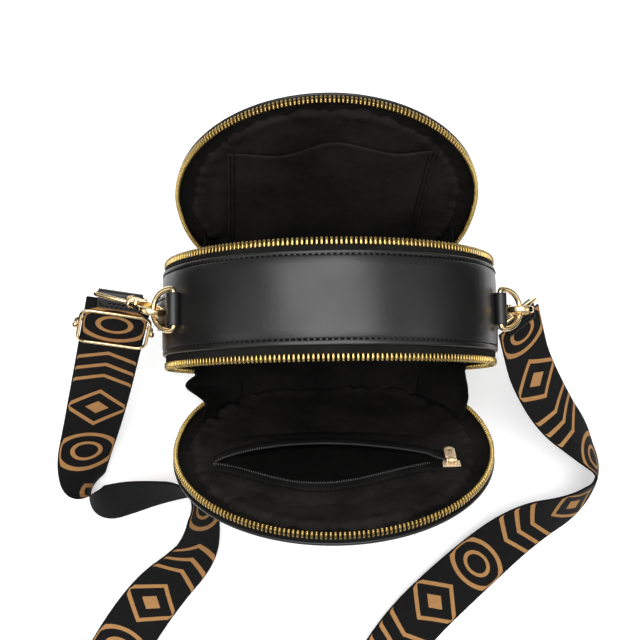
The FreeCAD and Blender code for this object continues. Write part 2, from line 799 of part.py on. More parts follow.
def strap():
    grid = strap_grid()
    uppers, lowers = thickened(grid, strap_thickness)
    cuts = [0] + [cut * strap_span_steps for cut in strap_cut_steps] + [len(uppers) - 1]
    names = ("strap_left_run", "strap_front_loop", "strap_right_run")
    volume = 0
    for name, start, end in zip(names, cuts, cuts[1:]):
        run = skin(uppers[start:end + 1], lowers[start:end + 1])
        volume += run.Volume
        save(name, run)
    middles = [(a + b) * 0.5 for a, b in grid]
    length = sum((b - a).Length for a, b in zip(middles, middles[1:]))
    print("strap volume", round(volume),
          "section times length", round(strap_width * strap_thickness * length))


def adjuster(first, second, edge):
    # A wire frame over the webbing, and a bar under it whose balls hold the frame's sides
    way = unit(second - first)
    side = across_to(edge, way)
    normal = way.cross(side)
    centre = first + way * (slide_reach - end_inset)
    half = strap_width / 2 + slide_side_gap + slide_wire
    rise = strap_thickness / 2 + slide_gap + slide_wire
    long = slide_length / 2 - slide_wire
    corners = [Vector(-half, rise, -long), Vector(half, rise, -long), Vector(half, rise, long),
               Vector(-half, rise, long)]
    frame = []
    for start, end in zip(corners, corners[1:] + corners[:1]):
        frame.append(rod(start, end, slide_wire))
        frame.append(Part.makeSphere(slide_wire, end))
    reach = half + 2 * slide_wire
    bends = [Vector(-reach, rise, 0), Vector(-reach, -rise, 0),
             Vector(reach, -rise, 0), Vector(reach, rise, 0)]
    bar = [Part.makeSphere(slide_ball / 2 + slide_wire / 2, bends[0])]
    bar.append(Part.makeSphere(slide_ball / 2 + slide_wire / 2, bends[3]))
    for start, end in zip(bends, bends[1:]):
        bar.append(rod(start, end, slide_wire))
        bar.append(Part.makeSphere(slide_wire, start))
    frame = joined(frame)
    for node, shape in (("adjuster_frame", frame), ("adjuster_bar", joined(bar).cut(frame))):
        save(node, place(shape, centre, side, normal, way))
    print("adjuster way", [round(v, 4) for v in way])


def same(shape):
    return shape


def to_left(shape):
    return shape.mirror(Vector(0, 0, 0), x_axis)


def route_point(i):
    return Vector(*route_rows()[i][:3])


def route_edge(i):
    return Vector(*route_rows()[i][3:])


gusset()
for name, angle, space, move in (("front", front_open_angle, pocket_space, same),
                                 ("back", back_open_angle, 0, to_back)):
    rim_zip(name, move)
    set_open = panel(name, angle, space, move)
    hinge_strip(name, angle, move)
    wings(name, angle, space, move)
    rim_slider(name, move)
    if space:
        zip_pocket(set_open)
        pocket_slider(set_open)
    else:
        slip_pocket(set_open)

strap_side("left", left_ring_angle, to_left, left_fall, route_point(0), route_point(1), route_edge(0))
strap_side("right", right_ring_angle, same, right_fall, route_point(-1), route_point(-2), route_edge(-1))
strap()
adjuster(route_point(0), route_point(1), route_edge(1))
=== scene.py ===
import json
import bmesh
import bpy
from math import copysign, cos, exp, pi, radians, sin, sqrt
from mathutils import Matrix, Vector, noise


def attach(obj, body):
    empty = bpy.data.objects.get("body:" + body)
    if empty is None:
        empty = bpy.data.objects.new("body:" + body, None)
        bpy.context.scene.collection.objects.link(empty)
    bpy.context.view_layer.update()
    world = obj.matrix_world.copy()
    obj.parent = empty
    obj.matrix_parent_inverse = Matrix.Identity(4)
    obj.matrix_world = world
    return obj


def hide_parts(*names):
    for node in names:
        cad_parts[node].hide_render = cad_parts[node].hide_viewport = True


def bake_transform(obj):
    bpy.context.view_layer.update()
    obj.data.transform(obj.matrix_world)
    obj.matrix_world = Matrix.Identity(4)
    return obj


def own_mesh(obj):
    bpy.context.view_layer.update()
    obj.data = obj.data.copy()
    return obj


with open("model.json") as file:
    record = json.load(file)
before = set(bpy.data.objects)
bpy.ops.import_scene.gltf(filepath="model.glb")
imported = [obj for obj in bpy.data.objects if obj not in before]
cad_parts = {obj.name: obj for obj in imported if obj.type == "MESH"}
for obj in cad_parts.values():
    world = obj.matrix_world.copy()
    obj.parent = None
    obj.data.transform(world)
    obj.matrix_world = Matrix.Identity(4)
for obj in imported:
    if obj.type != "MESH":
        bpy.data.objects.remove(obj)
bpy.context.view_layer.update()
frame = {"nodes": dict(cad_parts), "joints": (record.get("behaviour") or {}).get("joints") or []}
print("frame loaded:", len(frame["nodes"]), "nodes")

# The bag's main sizes, in metres, shared by all pieces
bag = dict(radius=0.095, flat=0.0026, halfBand=0.0225, leather=0.0016, board=0.0010, lining=0.0007,
           tapeReveal=0.0042, toothLength=0.0037, toothHeight=0.0026, toothPitch=0.0024, chainGap=0.0002,
           zipEnd=radians(44), tapeTail=0.015, panelFlat=0.0094)
bag["centreZ"] = bag["radius"] - bag["flat"]
bag["closeY"] = bag["halfBand"] + bag["tapeReveal"] + bag["toothLength"] + bag["chainGap"]
bag["chainRadius"] = bag["radius"] - bag["leather"] - bag["board"] / 2
bag["chainInset"] = bag["radius"] - bag["chainRadius"]
bag["chainQ"] = bag["chainGap"] + bag["toothLength"]
bag["tapeEnd"] = bag["zipEnd"] + bag["tapeTail"] / bag["chainRadius"]
bag["clothWall"] = bag["lining"] * 0.8

# The two panels: which way they face, how far they stand open, where their lining lies
panels = {
    "front": dict(sign=-1, open=radians(28.2), liningQ=0.0045, moatQ=0.0066, wide=0.982,
                  low=0.090, tall=0.986, shift=0.0012, reveal=0.0022, depth=0.0082, drawn=0.0004),
    "back": dict(sign=1, open=radians(24.2), liningQ=0.0040, moatQ=0.0052, wide=0.944,
                 low=0.120, tall=0.984, shift=-0.0006, reveal=0.0012, depth=0.0070, drawn=0.0012),
}
panelFall = dict(hingeZ=0.0063, lowRise=0.080, lowPower=1.6, shiftRise=0.09)

# How far off a surface a second point is read, to find which way the surface faces
probe = 0.01


# Small helpers for selecting, shaping and finishing
def clearSelection():
    if bpy.context.mode != "OBJECT":
        bpy.ops.object.mode_set(mode="OBJECT")
    bpy.ops.object.select_all(action="DESELECT")


def pick(obj):
    clearSelection()
    obj.select_set(True)
    bpy.context.view_layer.objects.active = obj


def addObject(name, data):
    obj = bpy.data.objects.new(name, data)
    bpy.context.collection.objects.link(obj)
    return obj


def primitive(maker, **sizes):
    clearSelection()
    maker(**sizes)
    return bpy.context.object


def openMesh(obj):
    pick(obj)
    bpy.ops.object.mode_set(mode="EDIT")
    bpy.ops.mesh.select_all(action="SELECT")


def closeMesh():
    bpy.ops.object.mode_set(mode="OBJECT")


def tidyMesh(obj, gap=1e-6):
    openMesh(obj)
    bpy.ops.mesh.remove_doubles(threshold=gap)
    bpy.ops.mesh.normals_make_consistent(inside=False)
    closeMesh()


def applyAll(obj):
    pick(obj)
    for modifier in list(obj.modifiers):
        bpy.ops.object.modifier_apply(modifier=modifier.name)


def easeEdges(obj, width, angle, segments=2):
    edge = obj.modifiers.new("edge", "BEVEL")
    edge.width = width
    edge.segments = segments
    edge.angle_limit = radians(angle)


def gridPiece(name, stepsU, stepsV, place, uvPlace=None):
    # A flat grid whose points are laid on a surface given by place(u, v)
    obj = primitive(bpy.ops.mesh.primitive_grid_add, x_subdivisions=stepsU, y_subdivisions=stepsV, size=1)
    obj.name = obj.data.name = name
    for vert in obj.data.vertices:
        vert.co = place(vert.co.x + 0.5, vert.co.y + 0.5)
    if uvPlace:
        for corner in obj.data.uv_layers.active.data:
            corner.uv = uvPlace(corner.uv[0], corner.uv[1])
    tidyMesh(obj)
    return obj


def copiesOf(name, source, places):
    # One mesh from many placed copies of a small shape
    made = bmesh.new()
    for place in places:
        start = len(made.verts)
        made.from_mesh(source.data)
        made.verts.ensure_lookup_table()
        bmesh.ops.transform(made, matrix=place, verts=made.verts[start:])
    mesh = bpy.data.meshes.new(name)
    made.to_mesh(mesh)
    made.free()
    return addObject(name, mesh)


def drop(obj):
    bpy.data.objects.remove(obj)


def dress(obj, finish, body, nodes=(), angle=40):
    obj.data.materials.clear()
    obj.data.materials.append(finish)
    pick(obj)
    bpy.ops.object.shade_smooth_by_angle(angle=radians(angle))
    if body:
        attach(obj, body)
    if nodes:
        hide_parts(*nodes)
    return obj


def sheetPiece(name, steps, place, thickness, finish, body, nodes=(), angle=180,
               rim=0.0):
    # Cloth or leather: a laid grid given a wall, and eased edges where it has a rim
    obj = gridPiece(name, *steps, place)
    wall = obj.modifiers.new("wall", "SOLIDIFY")
    wall.thickness = thickness
    wall.offset = 0
    if rim:
        easeEdges(obj, rim, 60)
    applyAll(obj)
    tidyMesh(obj)
    return dress(obj, finish, body, nodes, angle)


def axesAt(origin, x, y, z):
    return Matrix([(x[i], y[i], z[i], origin[i]) for i in range(3)] + [(0, 0, 0, 1)])


def squareTo(way, axis):
    return (way - axis * way.dot(axis)).normalized()


def frameOf(origin, along, up):
    # Matrix with X along a direction and Z as near as can be to up
    x = along.normalized()
    z = squareTo(up, x)
    return axesAt(origin, x, z.cross(x), z)


def ease(value):
    value = min(max(value, 0.0), 1.0)
    return value * value * (3 - 2 * value)


def easePast(value, start):
    # Eased from 0 at start to 1 at the end of the range
    return ease((value - start) / (1 - start))


def between(low, high, share):
    return low + (high - low) * share


def shares(steps):
    return [k / steps for k in range(steps + 1)]


def bentOver(start, knee, end, share):
    return start.lerp(knee, share).lerp(knee.lerp(end, share), share)


def wobble(x, y, z, scale):
    # Smooth noise; a fixed number in place of x, y or z picks one slice of it
    return noise.noise(Vector((x, y, z)) * scale)


# Places on the round body and on the open panels
def roundAngle(share):
    # Once round, from the lowest point
    return 2 * pi * share - pi / 2


def outward(angle):
    return Vector((cos(angle), 0, sin(angle)))


def rimRadius(angle, inset, flat):
    radius = bag["radius"] - inset
    low = -sin(angle)
    if low <= 0:
        return radius
    return min(radius, (bag["radius"] - flat - inset) / low)


def atAngle(angle, r, y=0.0):
    return Vector((r * cos(angle), y, bag["centreZ"] + r * sin(angle)))


def onBand(angle, inset, y):
    return atAngle(angle, rimRadius(angle, inset, bag["flat"]), y)


def onPanel(side, x, z, q):
    # A point of a panel: x and z as if it were shut, q outwards from the closing plane
    panel = panels[side]
    c, s = cos(panel["open"]), sin(panel["open"])
    rise = (z - panelFall["hingeZ"]) * panel["tall"]
    y = bag["closeY"] + q * c + rise * s
    wide = panel["wide"] + panel["low"] * max(1 - rise / panelFall["lowRise"], 0) ** panelFall["lowPower"]
    x = x * wide + panel["shift"] * ease(rise / panelFall["shiftRise"])
    return Vector((x, panel["sign"] * y, panelFall["hingeZ"] - q * s + rise * c))


def onPanelRim(side, angle, inset, q):
    r = rimRadius(angle, inset, bag["panelFlat"])
    return onPanel(side, r * cos(angle), bag["centreZ"] + r * sin(angle), q)


# Materials
def newFinish(name, colour, roughness, metallic=0.0, specular=0.5):
    finish = bpy.data.materials.new(name)
    finish.use_nodes = True
    shader = finish.node_tree.nodes["Principled BSDF"]
    shader.inputs["Base Color"].default_value = (*colour, 1)
    shader.inputs["Roughness"].default_value = roughness
    shader.inputs["Metallic"].default_value = metallic
    shader.inputs["Specular IOR Level"].default_value = specular
    return finish, finish.node_tree, shader


def addNode(tree, kind, values, **settings):
    made = tree.nodes.new(kind)
    for key, value in settings.items():
        setattr(made, key, value)
    for key, value in values.items():
        if isinstance(value, bpy.types.NodeSocket):
            tree.links.new(value, made.inputs[key])
        else:
            made.inputs[key].default_value = value
    return made


def link(output, socket):
    output.id_data.links.new(output, socket)


# Sums of sockets, made in the node tree that the first one belongs to
def sums(operation, first, second=0.0):
    values = {0: first, 1: second}
    return addNode(first.id_data, "ShaderNodeMath", values, operation=operation).outputs[0]


def plus(first, second):
    return sums("ADD", first, second)


def minus(first, second):
    return sums("SUBTRACT", first, second)


def times(first, second):
    return sums("MULTIPLY", first, second)


def either(first, second):
    return sums("MAXIMUM", first, second)


def spread(value, low, high, fromLow=0.0, fromHigh=1.0):
    values = {"Value": value, "From Min": fromLow, "From Max": fromHigh, "To Min": low, "To Max": high}
    return addNode(value.id_data, "ShaderNodeMapRange", values).outputs[0]


def place3d(tree):
    return tree.nodes.new("ShaderNodeTexCoord").outputs["Object"]


def mottle(where, scale, detail=3.0):
    values = {"Vector": where, "Scale": scale, "Detail": detail}
    return addNode(where.id_data, "ShaderNodeTexNoise", values).outputs["Fac"]


def tint(factor, dark, light, shader=None):
    values = {0: factor, 6: (*dark, 1), 7: (*light, 1)}
    mixed = addNode(factor.id_data, "ShaderNodeMix", values, data_type="RGBA").outputs[2]
    if shader:
        link(mixed, shader.inputs["Base Color"])
    return mixed


def bumpUp(height, shader, strength, distance):
    values = {"Height": height, "Strength": strength, "Distance": distance}
    link(addNode(height.id_data, "ShaderNodeBump", values).outputs[0], shader.inputs["Normal"])


leatherGrain = dict(cell=0.00075, soft=45, fine=900, fold=130, fineShare=0.5, foldShare=2.5,
                    low=0.3, high=0.7, bump=0.22, deep=0.00012)


def leatherFinish(name, dark, light, roughLow, roughHigh):
    finish, tree, shader = newFinish(name, dark, roughLow)
    where = place3d(tree)
    values = {"Vector": where, "Scale": 1 / leatherGrain["cell"]}
    cells = addNode(tree, "ShaderNodeTexVoronoi", values, feature="F1").outputs["Distance"]
    soft = mottle(where, leatherGrain["soft"], detail=4)
    tint(soft, dark, light, shader)
    rough = spread(soft, roughLow, roughHigh, leatherGrain["low"], leatherGrain["high"])
    link(rough, shader.inputs["Roughness"])
    height = plus(cells, times(mottle(where, leatherGrain["fine"], detail=2), leatherGrain["fineShare"]))
    height = plus(height, times(mottle(where, leatherGrain["fold"], detail=2), leatherGrain["foldShare"]))
    bumpUp(height, shader, leatherGrain["bump"], leatherGrain["deep"])
    return finish


clothGrain = dict(roughness=0.85, specular=0.1, slub=210, soft=34, softShare=0.7, slubShare=0.3,
                  weaveShare=0.12, slubRise=1.5, low=0.34, high=0.66, bump=0.35, deep=0.00015)


def clothFinish(name, dark, light, thread=0.0006):
    finish, tree, shader = newFinish(name, dark, clothGrain["roughness"], 0.0, clothGrain["specular"])
    where = place3d(tree)
    x, y, z = addNode(tree, "ShaderNodeSeparateXYZ", {"Vector": where}).outputs
    warp = sums("SINE", times(x, 2 * pi / thread))
    weft = sums("SINE", times(plus(z, y), 2 * pi / thread))
    weave = times(warp, weft)
    low, high = clothGrain["low"], clothGrain["high"]
    slub = spread(mottle(where, clothGrain["slub"]), 0, 1, low, high)
    soft = spread(mottle(where, clothGrain["soft"], detail=4), 0, 1, low, high)
    factor = plus(times(soft, clothGrain["softShare"]), times(slub, clothGrain["slubShare"]))
    tint(plus(factor, times(weave, clothGrain["weaveShare"])), dark, light, shader)
    bumpUp(plus(weave, times(slub, clothGrain["slubRise"])), shader, clothGrain["bump"], clothGrain["deep"])
    return finish


goldGrain = dict(soft=220, wave=300, smoother=0.7, rougher=1.4, low=0.3, high=0.7, bump=0.06, deep=0.0002)


def goldFinish(name, colour, deep, roughness, metallic=1.0):
    finish, tree, shader = newFinish(name, colour, roughness, metallic)
    where = place3d(tree)
    soft = mottle(where, goldGrain["soft"])
    tint(soft, deep, colour, shader)
    rough = spread(soft, roughness * goldGrain["smoother"], roughness * goldGrain["rougher"],
                   goldGrain["low"], goldGrain["high"])
    link(rough, shader.inputs["Roughness"])
    bumpUp(mottle(where, goldGrain["wave"], detail=2), shader, goldGrain["bump"], goldGrain["deep"])
    return finish


leatherBlack = leatherFinish("smooth black leather", (0.0070, 0.0070, 0.0070), (0.0115, 0.0114, 0.0112),
                             0.30, 0.40)
leatherEdge = leatherFinish("black strap leather", (0.006, 0.006, 0.006), (0.012, 0.012, 0.012), 0.28, 0.42)
liningCloth = clothFinish("black lining cloth", (0.0072, 0.0066, 0.0063), (0.0200, 0.0184, 0.0174))
# The lining cloth again in a darker copy: painted shade for the gathered rim strips, hinge covers and wings
shadedLiningCloth = clothFinish("lining cloth with painted shade", (0.0042, 0.0038, 0.0036), (0.0120, 0.0111, 0.0105))
# Much darker lining for the pocket's inside: painted shade in the pocket's mouth
pocketShadeCloth = clothFinish("pocket cloth with painted shade", (0.0016, 0.0015, 0.0014), (0.0036, 0.0033, 0.0030))
tapeCloth = clothFinish("zip tape", (0.0055, 0.0054, 0.0052), (0.0120, 0.0116, 0.0112), 0.0009)
threadBlack = clothFinish("black thread", (0.0020, 0.0020, 0.0020), (0.0050, 0.0050, 0.0050), 0.0003)
# A black coil lightened far past the other blacks: painted highlight along the pocket's lips
coilWithPaintedHighlight = leatherFinish("black coil lightened as painted highlight", (0.060, 0.060, 0.060), (0.120, 0.120, 0.120), 0.20, 0.30)
goldTeeth = goldFinish("yellow gold teeth", (0.72, 0.52, 0.19), (0.48, 0.33, 0.09), 0.22)
goldSatin = goldFinish("satin gold", (0.90, 0.70, 0.46), (0.80, 0.58, 0.34), 0.3, 0.35)
goldPale = goldFinish("pale gold hardware", (0.95, 0.75, 0.45), (0.86, 0.62, 0.30), 0.16)


# Stitching: one sewn thread loop, copied along a line
stitchSizes = dict(length=0.0025, width=0.0010, height=0.0008, taper=0.25, pitch=0.0030, finePitch=0.0026,
                   sink=0.0001)


def makeStitch():
    obj = primitive(bpy.ops.mesh.primitive_uv_sphere_add, segments=8, ring_count=6, radius=0.5)
    for vert in obj.data.vertices:
        x, y, z = vert.co
        thin = 1 - stitchSizes["taper"] * abs(x)
        vert.co = (x * stitchSizes["length"], y * stitchSizes["width"] * thin,
                   z * stitchSizes["height"] * thin)
    return obj


stitchShape = makeStitch()


def sewLine(name, spots, surface, body, pitch=stitchSizes["pitch"]):
    # Stitches along a row of spots; surface(spot, lift) is where a spot lies, lifted off by so much
    points = [surface(spot, 0) for spot in spots]
    places, carried = [], pitch / 2
    for spot, a, b in zip(spots, points, points[1:]):
        normal = (surface(spot, probe) - a).normalized()
        step = (b - a).length
        while carried < step:
            seat = a.lerp(b, carried / step) - normal * stitchSizes["sink"]
            places.append(frameOf(seat, b - a, normal))
            carried += pitch
        carried -= step
    return dress(copiesOf(name, stitchShape, places), threadBlack, body, angle=180)


# Spots once round a rim, for the long seams
rimSpots = [roundAngle(share) for share in shares(240)]

# Band: smooth leather with folded edges and a sewn groove near each edge
bandShape = dict(around=288, edgeRound=0.0009, grooveWidth=0.0011, grooveDepth=0.0005, sewnDepth=0.0002,
                 crown=0.0005, sag=0.0005, sagScale=2.2, sagAcross=12, flatBelow=-0.9, flatFade=3)
bandEdges = {"Front": dict(y=-0.0228, seam=-0.0197), "Back": dict(y=0.0240, seam=0.0217)}


def bandProfile():
    # (y, inset) round the leather's section, from the front edge over the outside to the back edge
    e, leather = bandShape["edgeRound"], bag["leather"]
    corner = [(e - e * cos(a), e - e * sin(a)) for a in (pi / 8 * k for k in range(5))]
    groove = [bandShape["grooveWidth"] * share for share in (-1, -0.5, 0, 0.5, 1)]
    front, back = bandEdges["Front"], bandEdges["Back"]
    outside = [(front["y"] + out, inset) for out, inset in corner]
    outside += [(front["seam"] + off, 0.0) for off in groove]
    outside += [(between(front["seam"], back["seam"], k / 8), 0.0) for k in range(1, 8)]
    outside += [(back["seam"] + off, 0.0) for off in groove]
    outside += [(back["y"] - out, inset) for out, inset in reversed(corner)]
    return outside + [(back["y"], leather), (0.0, leather), (front["y"], leather)] + outside[:1]


def makeBand():
    profile = bandProfile()
    steps = len(profile) - 1
    seams = [edge["seam"] for edge in bandEdges.values()]

    def place(u, v):
        y, inset = profile[min(int(round(v * steps)), steps)]
        angle = roundAngle(u)
        if inset < bag["leather"]:
            near = min(abs(y - seam) for seam in seams) / bandShape["grooveWidth"]
            share = y / bag["halfBand"]
            swell = bandShape["crown"] * max(0, 1 - share * share)
            ripple = wobble(cos(angle), y * bandShape["sagAcross"], sin(angle), bandShape["sagScale"])
            swell -= bandShape["sag"] * ripple
            swell *= ease((sin(angle) - bandShape["flatBelow"]) * bandShape["flatFade"])
            inset += bandShape["grooveDepth"] * ease(1 - near) - swell
        return onBand(angle, inset, y)

    band = gridPiece("bandLeather", bandShape["around"], steps, place)
    dress(band, leatherBlack, "bag_body", ["gusset_band"], 60)
    for side, edge in bandEdges.items():

        def groove(angle, lift):
            return onBand(angle, bandShape["sewnDepth"] - lift, edge["seam"])

        sewLine("bandSeam" + side, rimSpots, groove, "bag_body")
    print("band made")


makeBand()

# Zips: woven tape and single metal teeth
toothShape = dict(width=0.0013, head=0.0007, headWide=0.8, headHigh=0.62, bevel=0.00022, grip=0.0002,
                  bandStep=0.25, panelStep=0.75)
tapeShape = dict(thickness=0.0008, around=220, under=0.004, over=0.0006, roll=0.00035, waves=40,
                 panelWide=0.0034)


def makeTooth():
    # A tooth along Y, clamped on the tape at its root and drawn in at its head
    obj = primitive(bpy.ops.mesh.primitive_cube_add, size=1)
    long = bag["toothLength"] - toothShape["head"]
    for vert in obj.data.vertices:
        y = (vert.co.y + 0.5) * (long + toothShape["grip"]) - toothShape["grip"]
        vert.co = Vector((vert.co.x * toothShape["width"], y, vert.co.z * bag["toothHeight"]))
    pick(obj)
    for face in obj.data.polygons:
        face.select = face.normal.y > 0.9
    bpy.ops.object.mode_set(mode="EDIT")
    bpy.ops.mesh.select_mode(type="FACE")
    bpy.ops.mesh.extrude_region_move(TRANSFORM_OT_translate={"value": (0, toothShape["head"], 0)})
    bpy.ops.transform.resize(value=(toothShape["headWide"], 1, toothShape["headHigh"]))
    closeMesh()
    easeEdges(obj, toothShape["bevel"], 30, 1)
    applyAll(obj)
    return obj


tooth = makeTooth()


def teethPlaces(half, place):
    # Matrices round the chain: X along the chain, Y to the mating row, Z outwards
    sweep = pi + 2 * bag["zipEnd"]
    count = int(sweep * bag["chainRadius"] / bag["toothPitch"])
    return [place(-bag["zipEnd"] + sweep * (i + half) / count) for i in range(count)]


def chainMatrix(point, toMate, out):
    y, z = toMate.normalized(), out.normalized()
    return axesAt(point, y.cross(z), y, z)


def tapeAngle(u):
    return -bag["tapeEnd"] + (pi + 2 * bag["tapeEnd"]) * u


def makeRimZip(side):
    sign, body = panels[side]["sign"], side + "_panel"
    inset, rootQ = bag["chainInset"], bag["chainQ"]

    def bandTooth(angle):
        root = onBand(angle, inset, sign * (bag["halfBand"] + bag["tapeReveal"]))
        return chainMatrix(root, Vector((0, sign, 0)), outward(angle))

    def panelTooth(angle):
        root, head = onPanelRim(side, angle, inset, rootQ), onPanelRim(side, angle, inset, 0)
        return chainMatrix(root, head - root, root - onPanelRim(side, angle, inset + probe, rootQ))

    def bandTape(u, v):
        y = bag["halfBand"] - tapeShape["under"]
        y += (tapeShape["under"] + bag["tapeReveal"] + tapeShape["over"]) * v
        roll = tapeShape["roll"] * sin(v * pi) * (1 + wobble(u * tapeShape["waves"], v, 0, 1.0))
        return onBand(tapeAngle(u), inset - roll, sign * y)

    def panelTape(u, v):
        return onPanelRim(side, tapeAngle(u), inset, rootQ - tapeShape["over"] + tapeShape["panelWide"] * v)

    row = copiesOf(side + "BandTeeth", tooth, teethPlaces(toothShape["bandStep"], bandTooth))
    dress(row, goldTeeth, "bag_body", [side + "_gusset_teeth"], 50)
    row = copiesOf(side + "PanelTeeth", tooth, teethPlaces(toothShape["panelStep"], panelTooth))
    dress(row, goldTeeth, body, [side + "_panel_teeth"], 50)
    around, thickness = tapeShape["around"], tapeShape["thickness"]
    sheetPiece(side + "BandTape", (around, 6), bandTape, thickness, tapeCloth, "bag_body",
               [side + "_gusset_tape"], 40)
    sheetPiece(side + "PanelTape", (around, 4), panelTape, thickness, tapeCloth, body,
               [side + "_panel_tape"], 40)


for panelSide in panels:
    makeRimZip(panelSide)
print("rim zips made")

# Panels: a leather face turned over into a low wall, and a cloth lining gathered at the rim
panelShape = dict(around=220, edgeRound=0.0034, edgeLeft=0.0008, puff=0.0016, puffRun=0.05, sway=0.0004,
                  swayScale=24, seamIn=0.0009, seamSunk=0.0003, lipInside=0.0003, lipOutside=0.0004,
                  lipFrom=0.7, lipTo=0.3)
faceInsets = (0.006, 0.010, 0.016, 0.026, 0.040, 0.056, 0.074)


def panelRimQ(side):
    return bag["chainQ"] + panels[side]["reveal"]


def panelProfile(depth, rimQ):
    # (distance in from the rim, q) from the wall's inner lip round to the middle of the face
    e, leather = min(panelShape["edgeRound"], depth - rimQ - panelShape["edgeLeft"]), bag["leather"]
    points = [(leather, depth - leather), (leather, rimQ + panelShape["lipInside"]),
              (leather * panelShape["lipFrom"], rimQ), (leather * panelShape["lipTo"], rimQ),
              (0.0, rimQ + panelShape["lipOutside"]), (0.0, depth - e)]
    for k in range(1, 6):
        a = pi / 2 * k / 5
        points.append((e - e * cos(a), depth - e + e * sin(a)))
    return points + [(inset, depth) for inset in faceInsets]


def makePanel(side):
    panel, body, rimQ = panels[side], side + "_panel", panelRimQ(side)
    profile = panelProfile(panel["depth"], rimQ)
    steps = len(profile)

    def sway(x, z):
        return panelShape["sway"] * wobble(x, 0.3, z, panelShape["swayScale"])

    def place(u, v):
        k = int(round(v * steps))
        if k == steps:
            return onPanel(side, 0, bag["centreZ"], panel["depth"] + panelShape["puff"] + sway(0, 0))
        angle = roundAngle(u)
        inset, q = profile[k]
        far = min(max(inset - panelShape["edgeRound"], 0) / panelShape["puffRun"], 1)
        r = rimRadius(angle, inset, bag["panelFlat"])
        q += panelShape["puff"] * ease(far) + far * sway(r * cos(angle), r * sin(angle))
        return onPanelRim(side, angle, inset + panel["drawn"], q)

    def wall(angle, lift):
        sunk = panel["drawn"] + panelShape["seamSunk"]
        return onPanelRim(side, angle, sunk - lift, rimQ + panelShape["seamIn"])

    leather = gridPiece(side + "PanelLeather", panelShape["around"], steps, place)
    dress(leather, leatherBlack, body, [side + "_panel_leather"], 60)
    sewLine(side + "PanelSeam", rimSpots, wall, body)


# The zip pocket's place on the front lining, which lies flat there
pocket = dict(half=0.0725, left=-0.0697, z=0.1139, tape=0.0065, coilPitch=0.0013, rest=0.0009, sunk=0.0010,
              backFrom=0.5, endFrom=0.93, parkFrom=0.72, parkRun=0.12, pressed=0.030, slackLeft=0.25,
              slackFade=3, shutOff=0.0004, shutKeep=0.15)
liningShape = dict(around=360, across=52, tuck=0.0024, slack=0.0015, edgeAt=0.905, edgeWave=0.026,
                   edgePower=6, rimPower=1.5, gather=0.0016, rollAt=0.95, rollWide=0.045, rollShare=0.6,
                   slackScale=26, slackRun=6, creaseScale=70, creaseShare=0.4, turnFrom=0.965,
                   turnDown=0.0026)
gatherShape = dict(across=14, startAt=0.84, pucker=0.0011, closer=1.3, rimFrom=0.60, rimOff=0.0004)
ripples = dict(close=150, drift=0.010, fine=330, fineShare=0.6, slow=50, slowShare=0.6)


def pressedFlat(side, x, z):
    # How much of its slack the lining keeps: little where a pocket is sewn on it
    if side == "back":
        return 1
    away = max(abs(x) / pocket["half"] - 1, abs(z - pocket["z"]) / pocket["pressed"] - 1, 0)
    return between(pocket["slackLeft"], 1, ease(away * pocket["slackFade"]))


def pucker(x, z, share):
    # Gathers of the cloth round the rim: close ripples on slower waves
    ripple = wobble(x, share * ripples["drift"], z, ripples["close"])
    ripple += ripples["fineShare"] * wobble(x, 0.4, z, ripples["fine"])
    return ripple + ripples["slowShare"] * wobble(x, 0.7, z, ripples["slow"])


def makeLining(side):
    shape, body, centre = liningShape, side + "_panel", bag["centreZ"]
    deep, moat = panels[side]["liningQ"], panels[side]["moatQ"]

    def rimAt(u):
        angle = roundAngle(u)
        rim = rimRadius(angle, shape["tuck"], bag["panelFlat"])
        return rim * cos(angle), rim * sin(angle)

    def disc(u, v):
        rimX, rimZ = rimAt(u)
        share = 1 - (1 - v) ** shape["rimPower"]
        ripple = pucker(rimX, rimZ, share)
        reach = share * (shape["edgeAt"] + shape["edgeWave"] * ripple * share ** shape["edgePower"])
        x, z = reach * rimX, reach * rimZ
        roll = exp(-((share - shape["rollAt"]) / shape["rollWide"]) ** 2)
        slack = wobble(x, 0.3, z, shape["slackScale"])
        slack += shape["creaseShare"] * wobble(x, 0.8, z, shape["creaseScale"])
        slack *= shape["slack"] * ease((1 - share) * shape["slackRun"]) * pressedFlat(side, x, centre + z)
        q = deep - slack - shape["gather"] * roll * (shape["rollShare"] + ripple)
        q += shape["turnDown"] * easePast(share, shape["turnFrom"])
        return onPanel(side, x, centre + z, q)

    def strip(u, v):
        rimX, rimZ = rimAt(u)
        share = between(gatherShape["startAt"], 1, v)
        ripple = pucker(rimX * gatherShape["closer"], rimZ * gatherShape["closer"], v)
        q = moat - gatherShape["pucker"] * abs(ripple) * sin(pi * v)
        q = between(q, bag["chainQ"] + gatherShape["rimOff"], easePast(v, gatherShape["rimFrom"]))
        return onPanel(side, share * rimX, centre + share * rimZ, q)

    sheetPiece(side + "PanelLining", (shape["around"], shape["across"]), disc, bag["clothWall"], liningCloth,
               body, [side + "_panel_lining", side + "_panel_board"])
    # The gathered strip in the moat takes the darker lining copy: painted shade
    sheetPiece(side + "PanelGather", (shape["around"], gatherShape["across"]), strip, bag["clothWall"],
               shadedLiningCloth, body)


for panelSide in panels:
    makePanel(panelSide)
    makeLining(panelSide)
print("panels made")

# Inside of the band: lining and the cloth wall between the compartments
insideShape = dict(around=220, liningAcross=20, wallAcross=24, reach=0.0030, off=0.0003, fold=0.0004,
                   foldAround=6, foldAcross=3, foldScale=1.5, wall=0.0010, wallSway=0.0012, wallScale=22,
                   wallRun=5)


